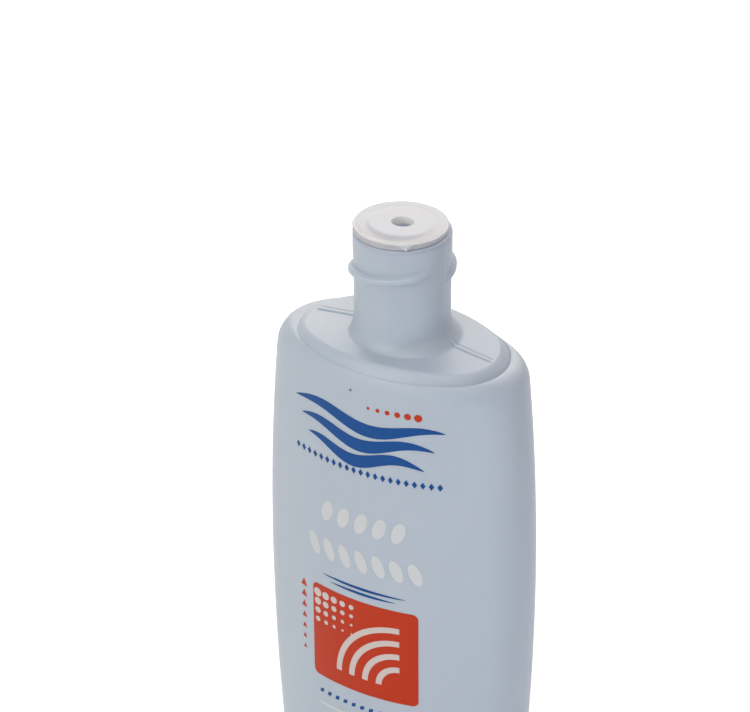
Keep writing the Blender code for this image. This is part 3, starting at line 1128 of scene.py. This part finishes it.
        # Painted highlight along the mould's seam on the right of the neck
        on_neck = ramp(z - self.plateau_height - self.flare_rise, steepness=1000.0) * (x > 0.0)
        dirt = 0.0
        for speck_x, speck_z, size, depth in self.specks:
            dirt = dirt + bump_of(distance(x - speck_x, z - speck_z), size) * (y < 0.0) * depth
        return group.ended({
            "Dark": greater(groove, greater(ring, painted_rim_shade)),
            "Light": greater(bump_of(y, self.seam_line) * on_neck, crest),
            "Dirt": dirt,
            "Glow": 0.0,
            "Deep glow": 0.0,
        })

    def shell(self, tree: GeometryTree, side: Side, stretches: Sequence[tuple[int, Callable]]) -> NodeSocket:
        """Skin made of stretches, each with points all the way round, gathered at the seam of the mould.

        Args:
            tree: Tree to draw in.
            side: Side of the wall.
            stretches: Faces from the foot to the top of each stretch, and its rule.

        Returns:
            The welded geometry.
        """
        parts = []
        for rows, stretch in stretches:
            part = GeometryTree(f"Bottle {side.value} {stretch.__name__}")
            rule = SkinRule(Sizes(part, self), side)

            def turned(across: Field, along: Field, rule: SkinRule = rule, place: Callable = stretch) -> Point:
                """Point from its share of a turn and of the stretch."""
                angle = across * FULL_CIRCLE
                return place(rule, angle - rule.s.seam_gathering / 2.0 * sine(angle * 2.0), along)

            part.ended(part.sheet(self.points_round, rows, turned))
            parts.append(tree.placed(part, self))
        return tree.joined(parts)

    def seam(self, tree: GeometryTree, rule: SkinRule) -> Field:
        """How far the mould's seam and the plastic's unevenness stand out of the skin.

        Args:
            tree: Tree to draw in.
            rule: Rule of the outside.

        Returns:
            The height along the normal.
        """
        s = rule.s
        x, y, z = tree.place()
        rising = eased((z - rule.crease_height) / s.ridge_fade)
        falling = eased((rule.plateau_height + s.ridge_fade - z) / s.ridge_fade)
        on_plateau = rising * falling * eased((s.ridge_end - magnitude(x)) / s.ridge_end_fade)
        off = magnitude(y - s.ridge_offset + s.ridge_slant * x) + s.ridge_narrowing * x
        crest = s.ridge_height * (1.0 - eased((off - s.ridge_width) / s.ridge_flank + 0.5))
        ridge = crest - s.groove_depth * bump_of(off - s.groove_place, s.groove_width)
        line = s.seam_height * bump_of(y, s.seam_width) * (1.0 - on_plateau)
        uneven = (tree.seeded_noise(tree.vector(x, y, z), self.waves, self.wave_seed) - NOISE_MIDDLE) * s.waviness
        return (line + ridge * on_plateau + uneven) * eased(z / s.foot_radius)

    def build(self, finish: Material) -> Object:
        """Grows the bottle, outside and inside.

        Args:
            finish: Its plastic.

        Returns:
            The piece.
        """
        tree = GeometryTree("Blow-moulded bottle")
        rule = SkinRule
        # Faces from the foot to the top of each zone
        outside = (
            (12, rule.underside), (8, rule.foot), (44, rule.wall), (22, rule.shoulder), (16, rule.step),
            (14, rule.plateau), (16, rule.flare), (6, rule.bare_neck), (66, rule.thread), (8, rule.collar),
            (2, rule.rim),
        )
        inside = (
            (8, rule.underside), (4, rule.foot), (16, rule.wall), (10, rule.shoulder), (4, rule.step),
            (5, rule.plateau), (8, rule.flare), (6, rule.bore),
        )
        shell = self.shell(tree, Side.OUTSIDE, outside)
        stands_out = self.seam(tree, SkinRule(Sizes(tree, self), Side.OUTSIDE))
        shell = tree.moved(shell, Offset=tree.scaled(tree.made("GeometryNodeInputNormal"), stands_out))
        lining = tree.flipped(self.shell(tree, Side.INSIDE, inside))
        piece = tree.grow("bottle_skin", self, tree.joined([shell, lining]), finish)
        return finished(piece, Body.BOTTLE, Slot.BOTTLE, "bottle", sharp_degrees=58.0)

    def build_lotion(self, finish: Material) -> Object:
        """Grows the lotion, with the rim that it draws up the wall.

        Args:
            finish: Its cream.

        Returns:
            The piece.
        """
        tree = GeometryTree("Lotion fill")
        rule = SkinRule
        stretches = ((8, rule.underside), (5, rule.foot), (24, rule.fill_side), (24, rule.fill_surface))
        piece = tree.grow("lotion_fill", self, self.shell(tree, Side.FILL, stretches), finish)
        return finished(piece, Body.BOTTLE, Slot.LOTION, "lotion", sharp_degrees=50.0)


# The plug and the film on it


Section = list[tuple[float, float]]


def softened(corners: Section, radius: float, steps: int) -> Section:
    """Rounds the corners of a closed outline.

    Args:
        corners: Corners in order.
        radius: How far from a corner its rounding starts, less where an edge is short.
        steps: Points that each rounding takes, less one.

    Returns:
        The rounded outline.
    """
    most_of_edge = 0.45
    outline: Section = []
    for before, corner, after in zip(corners[-1:] + corners[:-1], corners, corners[1:] + corners[:1]):
        here = Vector(corner)
        sides = [Vector(other) - here for other in (before, after)]
        start, end = (here + side * min(radius / side.length, most_of_edge) for side in sides)
        for step in range(steps + 1):
            share = step / steps
            outline.append(tuple(start.lerp(here, share).lerp(here.lerp(end, share), share)))
    return outline


@dataclass
class ReducerPlug:
    """Plug in the mouth of the neck: flange, boss, dispensing hole, and a ridged skirt in the bore."""

    rim_height: float
    seat_gap: float = 0.00005
    flange_radius: float = 0.00864
    flange_thickness: float = 0.00102
    flange_taper: float = 0.0001
    top_tilt: float = 0.00016
    groove_radii: tuple[float, ...] = (0.0069, 0.0081)
    groove_depths: tuple[float, ...] = (0.00004, 0.00005)
    groove_width: float = 0.00016
    boss_crown: float = 0.0053
    boss_radius: float = 0.0066
    boss_rise: float = 0.00042
    boss_steps: int = 10
    boss_lean: float = 0.8
    boss_turn: float = math.radians(-115)
    hole_radius: float = 0.00208
    web_thickness: float = 0.0014
    skirt_radius: float = 0.00695
    skirt_wall: float = 0.0009
    skirt_length: float = 0.0090
    ridge_height: float = 0.00015
    ridge_pitch: float = 0.0022
    lead_in: float = 0.0005
    edge_rounding: float = 0.00012
    rounding_steps: int = 3
    off_centre: tuple[float, float] = (-0.00027, -0.00004)
    hole_centre: tuple[float, float] = (-0.00001, 0.00012)
    # Painted shade on the front of the plug's top, towards the camera, uneven in strength
    viewer_side: tuple[float, float] = (0.52, -0.85)
    viewer_reach: float = 0.007
    residue_waves: float = 700.0
    residue_least: float = 0.3
    points_round: int = 192

    @property
    def bore_radius(self) -> float:
        """Inner radius of the skirt."""
        return self.skirt_radius - self.skirt_wall

    @property
    def top(self) -> float:
        """Height of the flange's top."""
        return self.rim_height + self.seat_gap + self.flange_thickness

    def tones(self) -> NodeTree:
        """Where shade is painted on the plug, and where a glow is painted in its hole and skirt in place of light
        coming through the plastic.

        Returns:
            Group with a mask for each tone.
        """
        sharp, sharper, at_edge = 8000.0, 12000.0, 1.4
        group = ShaderGroup("Plug tones")
        x, y, z = group.place()
        out = distance(x - self.off_centre[0], y - self.off_centre[1])
        # Darker flange side: partly painted shade under the film's lip, partly the plastic's own grey
        side = ramp(out - self.flange_radius, sharp, at_edge) * ramp(self.top - z, sharp)
        # Painted shade on the front of the top, on the side that faces the camera
        near_viewer = limited((x * self.viewer_side[0] + y * self.viewer_side[1]) / self.viewer_reach)
        uneven = group.noise(self.residue_waves) + self.residue_least
        painted_front_shade = ramp(out - self.boss_crown, steepness=900.0) * near_viewer * uneven
        from_hole = distance(x - self.hole_centre[0], y - self.hole_centre[1])
        in_bore = ramp(self.bore_radius - out, sharp, at_edge)
        return group.ended({
            "Dark": greater(side, painted_front_shade),
            "Light": 0.0,
            "Dirt": 0.0,
            # Painted glow on the hole's wall, and a deeper painted glow inside the skirt, in place of light through
            # the plastic
            "Glow": ramp(self.hole_radius - from_hole, sharper, at_edge),
            "Deep glow": in_bore * ramp(self.top - self.web_thickness - z, sharper, start=0.5),
        })

    def section(self) -> Section:
        """Section of the plug as radii and heights above the rim."""
        foot = self.seat_gap
        top = foot + self.flange_thickness
        boss_top = top + self.boss_rise
        web = top - self.web_thickness
        end = foot - self.skirt_length
        bead = self.skirt_radius + self.ridge_height
        corners = [(self.hole_radius, web), (self.hole_radius, boss_top)]
        for step in range(self.boss_steps + 1):
            share = step / self.boss_steps
            drop = self.boss_rise * (1 - math.cos(share * math.pi)) / 2
            corners.append((self.boss_crown + (self.boss_radius - self.boss_crown) * share, boss_top - drop))
        for groove, depth in zip(self.groove_radii, self.groove_depths):
            corners += [(groove - self.groove_width, top), (groove, top - depth), (groove + self.groove_width, top)]
        corners += [
            (self.flange_radius - self.flange_taper, top),
            (self.flange_radius, foot),
            (bead, foot),
            (bead, foot - self.ridge_pitch / 2),
            (self.skirt_radius, foot - self.ridge_pitch / 2 - self.ridge_height),
        ]
        for ridge in (2, 1):
            middle = end + self.lead_in + self.ridge_pitch * ridge
            corners += [
                (self.skirt_radius, middle + self.ridge_pitch / 4),
                (bead, middle),
                (self.skirt_radius, middle - self.ridge_pitch / 4),
            ]
        corners += [
            (self.skirt_radius, end + self.lead_in),
            (self.skirt_radius - self.skirt_wall / 2, end),
            (self.bore_radius, end),
            (self.bore_radius, web - self.lead_in),
            (self.bore_radius - self.lead_in, web),
        ]
        return softened(corners, self.edge_rounding, self.rounding_steps)

    def drop(self, y: Value) -> Value:
        """How far the top lies below its level, because the plug was pressed in further at the back."""
        return (y / self.flange_radius + 1.0) * (self.top_tilt / 2)

    def ring(self, radius: float, height: float) -> list[tuple[float, float, float]]:
        """Points of one turn of the section.

        Args:
            radius: Radius in the section.
            height: Height above the rim.

        Returns:
            The points, moved and tilted as the plug sits.
        """
        seated = clamped(height / self.seat_gap) if radius > self.boss_crown else 1.0
        at_hole = clamped((self.boss_crown - radius) / (self.boss_crown - self.hole_radius))
        centres = zip(self.off_centre, self.hole_centre)
        shift_x, shift_y = (rim * seated * (1 - at_hole) + hole * at_hole for rim, hole in centres)
        over = max(height - self.seat_gap - self.flange_thickness, 0.0)
        points = []
        for step in range(self.points_round):
            turn = FULL_CIRCLE * step / self.points_round
            y = radius * math.sin(turn) + shift_y
            drop = self.drop(y) * clamped(height / self.flange_thickness)
            sunk = self.boss_lean * (1 - math.cos(turn - self.boss_turn)) / 2 * min(radius / self.boss_crown, 1.0)
            points.append((radius * math.cos(turn) + shift_x, y, self.rim_height + height - drop - over * sunk))
        return points

    def build(self, finish: Material) -> Object:
        """Turns the section round the neck's axis.

        Args:
            finish: Its plastic.

        Returns:
            The piece.
        """
        section = self.section()
        points = [point for corner in section for point in self.ring(*corner)]
        faces = []
        for row in range(len(section)):
            above = (row + 1) % len(section)
            for step in range(self.points_round):
                beside = (step + 1) % self.points_round
                corners = ((above, step), (above, beside), (row, beside), (row, step))
                faces.append([line * self.points_round + place for line, place in corners])
        mesh = bpy.data.meshes.new("reducer_plug")
        mesh.from_pydata(points, [], faces)
        mesh.materials.append(finish)
        return finished(added("reducer_plug", mesh), Body.REDUCER, Slot.NATURAL, "orifice_reducer")


@dataclass
class FilmSliver:
    """Torn sliver of peel-off film along the front of the plug's rim, partly hanging over its edge."""

    level: float
    outer_radius: float = 0.00856
    width: float = 0.0013
    least_width: float = 0.00004
    plain_share: float = 0.62
    thickness: float = 0.00011
    sunk_share: float = 0.3
    start: float = math.radians(-155)
    end: float = math.radians(-24)
    raggedness: float = 0.9
    long_tears: float = 1.4
    short_tears: float = 0.7
    hanging_tears: float = 1.6
    torn_share: float = 0.7
    torn_by_nicks: float = 3.5
    lifted_share: float = 0.25
    lifted_by_waves: float = 4.0
    curl: float = 0.00022
    hang: float = 0.00009
    overhang: float = 0.00022
    flap: float = 0.00128
    flap_turn: float = math.radians(-54)
    flap_reach: float = math.radians(5.5)
    flap_width: float = 0.0009
    tab: float = 0.0004
    tab_turn: float = math.radians(-134)
    tab_reach: float = math.radians(3)
    patterns: tuple[tuple[float, float], ...] = ((9.0, 1.3), (31.0, 4.1), (5.0, 7.7), (70.0, 2.2))
    columns: int = 260
    rows: int = 14

    def build(self, finish: Material, rim: ReducerPlug) -> Object:
        """Grows the strip along its arc.

        Args:
            finish: Its film.
            rim: Plug that it sticks to.

        Returns:
            The piece.
        """
        tree = GeometryTree("Torn film")
        s = Sizes(tree, self)

        def strip(along: Field, across: Field) -> Point:
            """Point of the strip from its shares along the arc, and from its hanging edge inwards."""
            where = tree.vector(along, 0.0, 0.0)
            waves = (tree.seeded_noise(where, *pattern) - NOISE_MIDDLE for pattern in self.patterns)
            long, short, lift, nick = waves
            angle = between(s.start, s.end, along)
            swell = root(greater(sine(along * math.pi), 0.0))
            at_flap = bump_of(angle - s.flap_turn, s.flap_reach)
            at_tab = bump_of(angle - s.tab_turn, s.tab_reach)
            torn = limited(nick * s.torn_by_nicks + s.torn_share)
            hanging = s.hang * swell * (1.0 + short * s.hanging_tears) + (s.flap * at_flap + s.tab * at_tab) * torn
            ragged = s.raggedness * (long * s.long_tears + short * s.short_tears)
            reach = s.width * swell * (s.plain_share + ragged) + s.flap_width * at_flap
            run = across * (hanging + greater(reach, s.least_width)) - hanging
            inwards, down = greater(run, 0.0), greater(run * -1.0, 0.0)
            lifted = s.curl * limited(inwards / s.width) * limited(lift * s.lifted_by_waves + s.lifted_share)
            x, y = around(angle, s.outer_radius - inwards + s.overhang * eased(down / s.overhang))
            x, y = x + rim.off_centre[0], y + rim.off_centre[1]
            return x, y, s.level - rim.drop(y) + lifted - down + s.thickness * s.sunk_share

        plate = tree.thickened(tree.sheet(self.columns, self.rows, strip), s.thickness)
        piece = tree.grow("film_sliver", self, plate, finish)
        return finished(piece, Body.REDUCER, Slot.FILM, "seal_film_remnant")


# Printing on the front

FIRST_LAYER = 0.000012
SECOND_LAYER = 0.00004


@dataclass(kw_only=True)
class Motif:
    """Plain printed shape, drawn flat and then wrapped on the bottle's front."""

    centre_x: float = 0.0
    centre_z: float
    lift: float = FIRST_LAYER
    ink_depth: float = 0.00002
    start_depth: float = 0.04

    def draw(self, tree: GeometryTree, sizes: Sizes) -> NodeSocket:
        """Draws the shape flat, X across and Y up, round the origin."""
        raise NotImplementedError

    def build(self, name: str, finish: Material, skin: Object) -> Object:
        """Grows the motif and wraps it on the skin.

        Args:
            name: Name of the piece.
            finish: Its ink.
            skin: Bottle that it is printed on.

        Returns:
            The piece.
        """
        tree = GeometryTree(f"Print {name}")
        s = Sizes(tree, self)
        flat = tree.made("GeometryNodeRealizeInstances", {"Geometry": self.draw(tree, s)})
        x, y, _ = tree.place()
        ray = tree.node("GeometryNodeRaycast", {
            "Target Geometry": tree.node("GeometryNodeObjectInfo", {"Object": skin}).outputs["Geometry"],
            "Source Position": tree.vector(x + s.centre_x, -self.start_depth, y + s.centre_z),
            "Ray Direction": (0, 1, 0),
            "Ray Length": self.start_depth,
        }).outputs
        away = tree.scaled(ray["Hit Normal"], s.lift)
        laid = tree.moved(flat, Position=tree.made("ShaderNodeVectorMath", {0: ray["Hit Position"], 1: away}))
        return finished(tree.grow(name, self, tree.thickened(laid, s.ink_depth), finish), Body.BOTTLE)


@dataclass(kw_only=True)
class Strips(Motif):
    """Several narrow strips of one kind."""

    thickness: float
    count: int
    columns: int
    rows: int = 2

    def place(self, s: Sizes, strip: float, along: Field, across: Field) -> Point:
        """Point of a strip from its number and from the shares along and across it."""
        raise NotImplementedError

    def draw(self, tree: GeometryTree, sizes: Sizes) -> NodeSocket:
        """Draws the strips."""
        strips = (partial(self.place, sizes, float(strip)) for strip in range(self.count))
        return tree.joined([tree.sheet(self.columns, self.rows, strip) for strip in strips])


@dataclass(kw_only=True)
class Ribbons(Strips):
    """Waving bands that taper at both ends, one above the other."""

    length: float
    pitch: float
    shortening: float
    amplitude: float = 0.0
    waves: float = 1.0
    lead: float = 0.0
    taper: float = 0.75
    tip: float = 0.00002
    columns: int = 72

    def place(self, s: Sizes, strip: float, along: Field, across: Field) -> Point:
        """Point of one band."""
        wave = s.amplitude * sine(along * s.waves * FULL_CIRCLE + s.lead * strip)
        half = s.thickness * greater(sine(along * math.pi), 0.0) ** self.taper + self.tip
        row = s.pitch * (strip - (self.count - 1) / 2)
        return (along - 0.5) * (s.length - s.shortening * strip), row * -1.0 + wave + (across - 0.5) * half, 0.0


@dataclass(kw_only=True)
class Cells(Motif):
    """Small shapes in columns and rows, which may grow towards one side."""

    columns: int = 1
    rows: int = 1
    pitch_x: float = 0.001
    pitch_z: float = 0.001
    half_width: float
    half_height: float
    corners: int
    tilt: float = 0.0
    growth_x: float = 0.0
    growth_z: float = 0.0
    least_span: float = 0.001
    least_scale: float = 0.05

    def draw(self, tree: GeometryTree, sizes: Sizes) -> NodeSocket:
        """Draws the shapes."""
        s = sizes
        span_x = s.pitch_x * (s.columns - 1.0)
        span_z = s.pitch_z * (s.rows - 1.0)
        values = {"Size X": span_x, "Size Y": span_z, "Vertices X": s.columns, "Vertices Y": s.rows}
        grid = tree.made("GeometryNodeMeshGrid", values)
        shape = tree.made("GeometryNodeMeshCircle", {"Vertices": s.corners, "Radius": 1.0}, fill_type="NGON")
        x, y, _ = tree.place()
        grown = 1.0 + s.growth_x * x / (span_x + s.least_span) + s.growth_z * y / (span_z + s.least_span)
        scale = greater(grown, s.least_scale)
        return tree.made("GeometryNodeInstanceOnPoints", {
            "Points": grid,
            "Instance": tree.made("GeometryNodeSubdivideMesh", {"Mesh": shape, "Level": 1}),
            "Scale": tree.vector(s.half_width * scale, s.half_height * scale, 1.0),
            "Rotation": tree.vector(0.0, 0.0, s.tilt),
        })


@dataclass(kw_only=True)
class Panel(Motif):
    """Filled panel with rounded corners."""

    width: float
    height: float
    corner: float
    columns: int = 60
    rows: int = 56

    def draw(self, tree: GeometryTree, sizes: Sizes) -> NodeSocket:
        """Draws the panel."""
        s = sizes
        least = 1e-7

        def place(across: Field, along: Field) -> Point:
            """Point of the panel, pulled in where it lies in a corner."""
            x, y = (across - 0.5) * s.width, (along - 0.5) * s.height
            over_x = greater(magnitude(x) - (s.width / 2.0 - s.corner), 0.0)
            over_y = greater(magnitude(y) - (s.height / 2.0 - s.corner), 0.0)
            pull = greater(over_x, over_y) / greater(distance(over_x, over_y), least)
            keep = between(1.0, pull, lesser(over_x, over_y) > 0.0)
            new_x = magnitude(x) - over_x * (1.0 - keep)
            new_y = magnitude(y) - over_y * (1.0 - keep)
            return new_x * maths("SIGN", x), new_y * maths("SIGN", y), 0.0

        return tree.sheet(self.columns, self.rows, place)


@dataclass(kw_only=True)
class Ripples(Strips):
    """Arcs round one point, each wider than the one inside it."""

    radius: float
    gap: float
    start: float = 0.0
    end: float = QUARTER
    columns: int = 64

    def place(self, s: Sizes, strip: float, along: Field, across: Field) -> Point:
        """Point of one arc."""
        x, y = around(between(s.start, s.end, along), s.radius + s.gap * strip + (across - 0.5) * s.thickness)
        return x * -1.0, y, 0.0


def front_print() -> list[tuple[str, str, Motif]]:
    """Plain generic pattern on the front, in four inks and two layers.

    Returns:
        Name of each piece, name of its ink, and the motif.
    """
    leaf = {"pitch_z": 0.001, "half_height": 0.0024, "corners": 20}
    return [
        ("print_waves", "blue", Ribbons(
            centre_z=0.0803, length=0.0315, thickness=0.0026, amplitude=0.0011, waves=1.35, pitch=0.0035, lead=0.55,
            shortening=0.0035, count=3)),
        ("print_dots", "orange", Cells(
            centre_x=0.0062, centre_z=0.0874, columns=6, pitch_x=0.0019, half_width=0.00052, half_height=0.00052,
            corners=20, growth_x=0.9)),
        ("print_lozenges", "blue", Cells(
            centre_z=0.0736, columns=21, pitch_x=0.0015, half_width=0.0005, half_height=0.00075, corners=4)),
        ("print_leaves_upper", "pale", Cells(
            centre_z=0.0626, columns=5, pitch_x=0.0038, half_width=0.00125, tilt=-0.35, **leaf)),
        ("print_leaves_lower", "pale", Cells(
            centre_z=0.0543, columns=7, pitch_x=0.0036, half_width=0.0012, tilt=0.35, **leaf)),
        ("print_rules", "blue", Ribbons(
            centre_z=0.0478, length=0.0180, thickness=0.00055, pitch=0.0011, shortening=0.004, count=2)),
        ("print_panel", "orange", Panel(centre_z=0.03515, width=0.0228, height=0.0207, corner=0.0012)),
        ("print_ripples", "cream", Ripples(
            centre_x=0.0078, centre_z=0.0282, lift=SECOND_LAYER, radius=0.0042, thickness=0.0012, gap=0.0029,
            count=4)),
        ("print_halftone", "cream", Cells(
            centre_x=-0.0062, centre_z=0.0405, lift=SECOND_LAYER, columns=5, rows=4, pitch_x=0.0020, pitch_z=0.0020,
            half_width=0.00055, half_height=0.00055, corners=16, growth_x=-0.8, growth_z=0.8)),
        ("print_chevrons", "orange", Cells(
            centre_x=-0.0139, centre_z=0.0365, rows=7, pitch_z=0.0024, half_width=0.00085, half_height=0.00075,
            corners=3, tilt=QUARTER, growth_z=0.6)),
        ("print_dashes", "blue", Cells(
            centre_z=0.0214, columns=11, pitch_x=0.0019, half_width=0.00072, half_height=0.00048, corners=4,
            tilt=math.pi / 4)),
        ("print_lines", "pale", Ribbons(
            centre_z=0.0172, length=0.0240, thickness=0.0010, pitch=0.0026, shortening=0.006, count=2)),
    ]


# Floor, light and camera


@dataclass(frozen=True)
class Softbox:
    """Large soft lamp that points at the bottle. Azimuth 0 stands in front of it, 90 at its right end."""

    name: str
    azimuth: float
    elevation: float
    width: float
    height: float
    power: float
    colour: Colour = WHITE
    reach: float = 0.9
    aim: tuple[float, float, float] = (0.0, 0.0, 0.09)

    def build(self) -> None:
        """Hangs the lamp."""
        away = towards(math.radians(self.azimuth), math.radians(self.elevation)) * self.reach
        size = {"shape": "RECTANGLE", "size": self.width, "size_y": self.height}
        data = configured(bpy.data.lights.new(self.name, "AREA"), **size, energy=self.power, color=self.colour)
        lamp = added(self.name, data)
        lamp.location = Vector(self.aim) + away
        lamp.rotation_euler = (-away).to_track_quat("-Z", "Y").to_euler()
        lamp.visible_camera = False


def towards(azimuth: float, elevation: float) -> Vector:
    """Unit vector out to an azimuth and an elevation."""
    level = math.cos(elevation)
    return Vector((math.sin(azimuth) * level, -math.cos(azimuth) * level, math.sin(elevation)))


@dataclass
class Studio:
    """Plain pale floor, soft lamps and a camera where the photographer stood."""

    floor_size: float = 8.0
    floor_colour: Colour = (0.8, 0.8, 0.8)
    floor_glow: float = 0.55
    lit_floor: float = 0.35
    far_floor: float = 1.1
    ambient: Colour = (0.02, 0.02, 0.02)
    camera_place: tuple[float, float, float] = (0.281885, -0.469485, 0.410213)
    azimuth: float = math.radians(31.495)
    elevation: float = math.radians(30.282)
    roll: float = math.radians(-0.311)
    lens: float = 168.0
    nearest: float = 0.01
    furthest: float = 20.0
    half_pixel_share: float = 0.5 / 750

    def emptied(self, owner: Material | bpy.types.World) -> Nodes:
        """Tree of a material or a world, with nothing in it."""
        owner.use_nodes = True
        owner.node_tree.nodes.clear()
        return Nodes(owner.node_tree)

    def seen_directly(self, nodes: Nodes) -> Field:
        """1 for a ray from the camera, a reflection or a refraction."""
        path = nodes.node("ShaderNodeLightPath").outputs
        camera, glossy, clear = (Field(path[f"Is {kind} Ray"]) for kind in ("Camera", "Glossy", "Transmission"))
        return greater(greater(camera, glossy), clear)

    def build_world(self) -> None:
        """White surroundings to look at, and a plain grey to be lit by."""
        world = bpy.data.worlds.new("Studio")
        bpy.context.scene.world = world
        nodes = self.emptied(world)
        grey, white = (
            nodes.made("ShaderNodeBackground", {"Color": (*colour, 1.0)}) for colour in (self.ambient, WHITE)
        )
        mix = nodes.made("ShaderNodeMixShader", {0: self.seen_directly(nodes), 1: grey, 2: white})
        nodes.node("ShaderNodeOutputWorld", {"Surface": mix})

    def build_floor(self) -> None:
        """Pale floor that looks white and keeps the bottle's shadow."""
        material = bpy.data.materials.new("studio floor")
        nodes = self.emptied(material)
        x, y, _ = nodes.place()
        unlit = eased((distance(x, y) - self.lit_floor) / (self.far_floor - self.lit_floor))
        strength = self.seen_directly(nodes) * (self.floor_glow + unlit * (1.0 - self.floor_glow))
        matt = nodes.made("ShaderNodeBsdfDiffuse", {"Color": (*self.floor_colour, 1.0)})
        glow = nodes.made("ShaderNodeEmission", {"Strength": strength})
        nodes.node("ShaderNodeOutputMaterial", {"Surface": nodes.made("ShaderNodeAddShader", {0: matt, 1: glow})})
        half = self.floor_size / 2
        mesh = bpy.data.meshes.new("studio_floor")
        mesh.from_pydata([(-half, -half, 0), (half, -half, 0), (half, half, 0), (-half, half, 0)], [], [(0, 1, 2, 3)])
        mesh.materials.append(material)
        floor = added("studio_floor", mesh)

    def build_lamps(self) -> None:
        """Softboxes above, behind and in front of the bottle."""
        # Name, azimuth, elevation, width, height, power and colour
        lamps = (
            Softbox("overhead softbox", 0.0, 90.0, 0.7, 0.7, 1.17, (1.05, 0.99, 0.96)),
            Softbox("high back softbox", 211.5, 48.0, 0.6, 0.45, 1.59, (1.10, 0.99, 0.90)),
            Softbox("low back softbox", 211.5, 20.0, 0.7, 0.3, 1.62, (1.10, 1.00, 0.90)),
            Softbox("right back softbox", 165.0, 45.0, 0.6, 0.5, 1.16, (1.02, 0.96, 1.02)),
            Softbox("high front softbox", 31.0, 65.0, 0.6, 0.6, 2.55, (1.02, 1.00, 0.98)),
            Softbox("front softbox", -15.0, 20.0, 0.7, 0.7, 4.00, (1.01, 1.01, 0.98)),
            Softbox("right softbox", 85.0, 20.0, 0.7, 0.7, 0.72, (0.95, 0.95, 1.10)),
            Softbox("low right strip", 70.0, -25.0, 0.25, 0.05, 0.112, (0.94, 0.97, 1.10), reach=0.2),
            Softbox("low front strip", 15.0, -35.0, 0.25, 0.05, 0.010, reach=0.14),
            Softbox("low left strip", -60.0, -10.0, 0.45, 0.08, 0.083, (0.95, 1.00, 1.05), reach=0.36),
        )
        for lamp in lamps:
            lamp.build()

    def build_camera(self) -> None:
        """Camera at the photograph's place and angle."""
        back = towards(self.azimuth, self.elevation)
        right = Vector((math.cos(self.azimuth), math.sin(self.azimuth), 0.0))
        up = back.cross(right)
        tilted_right = right * math.cos(self.roll) + up * math.sin(self.roll)
        tilted_up = up * math.cos(self.roll) - right * math.sin(self.roll)
        data = configured(bpy.data.cameras.new("camera"), lens=self.lens)
        configured(data, clip_start=self.nearest, clip_end=self.furthest)
        configured(data, shift_x=-self.half_pixel_share, shift_y=self.half_pixel_share)
        camera = added("camera", data)
        axes = Matrix((tilted_right, tilted_up, back)).transposed().to_4x4()
        axes.translation = self.camera_place
        camera.matrix_world = axes
        bpy.context.scene.camera = camera

    def build(self) -> None:
        """Sets up everything around the bottle."""
        bpy.context.scene.view_settings.view_transform = "Standard"
        self.build_world()
        self.build_floor()
        self.build_lamps()
        self.build_camera()
        log.info("studio ready")


def main() -> None:
    """Builds the bottle piece by piece, then the studio."""
    logging.basicConfig(level=logging.INFO, format="%(name)s: %(message)s")
    effects = Effects(moulded_skin(), handling_marks(), turned_rings(), print_grain())
    bottle = BottleSkin()
    plug_piece = ReducerPlug(bottle.rim_height)
    blue_grey = seen(183, 194, 206)
    bottle_finish = MouldedPlastic(
        "bottle plastic",
        blue_grey,
        # Painted shade and painted highlight colours of the bottle
        tones=Tones(bottle.tones(), dark=seen(163, 173, 187), light=seen(196, 205, 214)),
        worn_colour=seen(118, 124, 132),
        roughness=0.40,
        soft_share=0.75,
        soft_reach=0.0008,
        peel_depth=2.2e-5,
        streaks=1.0,
    )
    plug_finish = MouldedPlastic(
        "natural plastic",
        seen(207, 211, 218),
        tones=Tones(
            plug_piece.tones(),
            # Painted shade and highlight colours of the plug, then its painted glows in the hole and in the skirt
            dark=seen(190, 190, 195),
            light=seen(220, 220, 222),
            glow=(0.185, 0.17, 0.125),
            deep_glow=(0.155, 0.165, 0.21),
        ),
        worn_colour=seen(150, 146, 138),
        roughness=0.42,
        soft_share=0.9,
        soft_reach=0.0010,
        peel_depth=1.2e-5,
        turned=True,
    )
    inks = {
        "blue": Ink("blue ink", seen(0, 72, 140), seen(16, 88, 150), roughness=0.34),
        "orange": Ink("orange ink", seen(185, 50, 12), seen(196, 78, 44), roughness=0.34),
        "pale": Ink("pale ink", seen(206, 209, 212), blue_grey, roughness=0.36),
        "cream": Ink("cream ink", seen(208, 196, 192), seen(200, 110, 80), roughness=0.36),
    }
    skin = bottle.build(bottle_finish.material(effects))
    bottle.build_lotion(Cream("lotion", seen(236, 232, 220)).material(effects))
    plug_piece.build(plug_finish.material(effects))
    FilmSliver(plug_piece.top).build(ThinFilm("torn film", seen(226, 228, 232)).material(effects), plug_piece)
    printed = {name: ink.material(effects) for name, ink in inks.items()}
    for name, ink, motif in front_print():
        motif.build(name, printed[ink], skin)
    Studio().build()


if __name__ == "__main__":
    main()
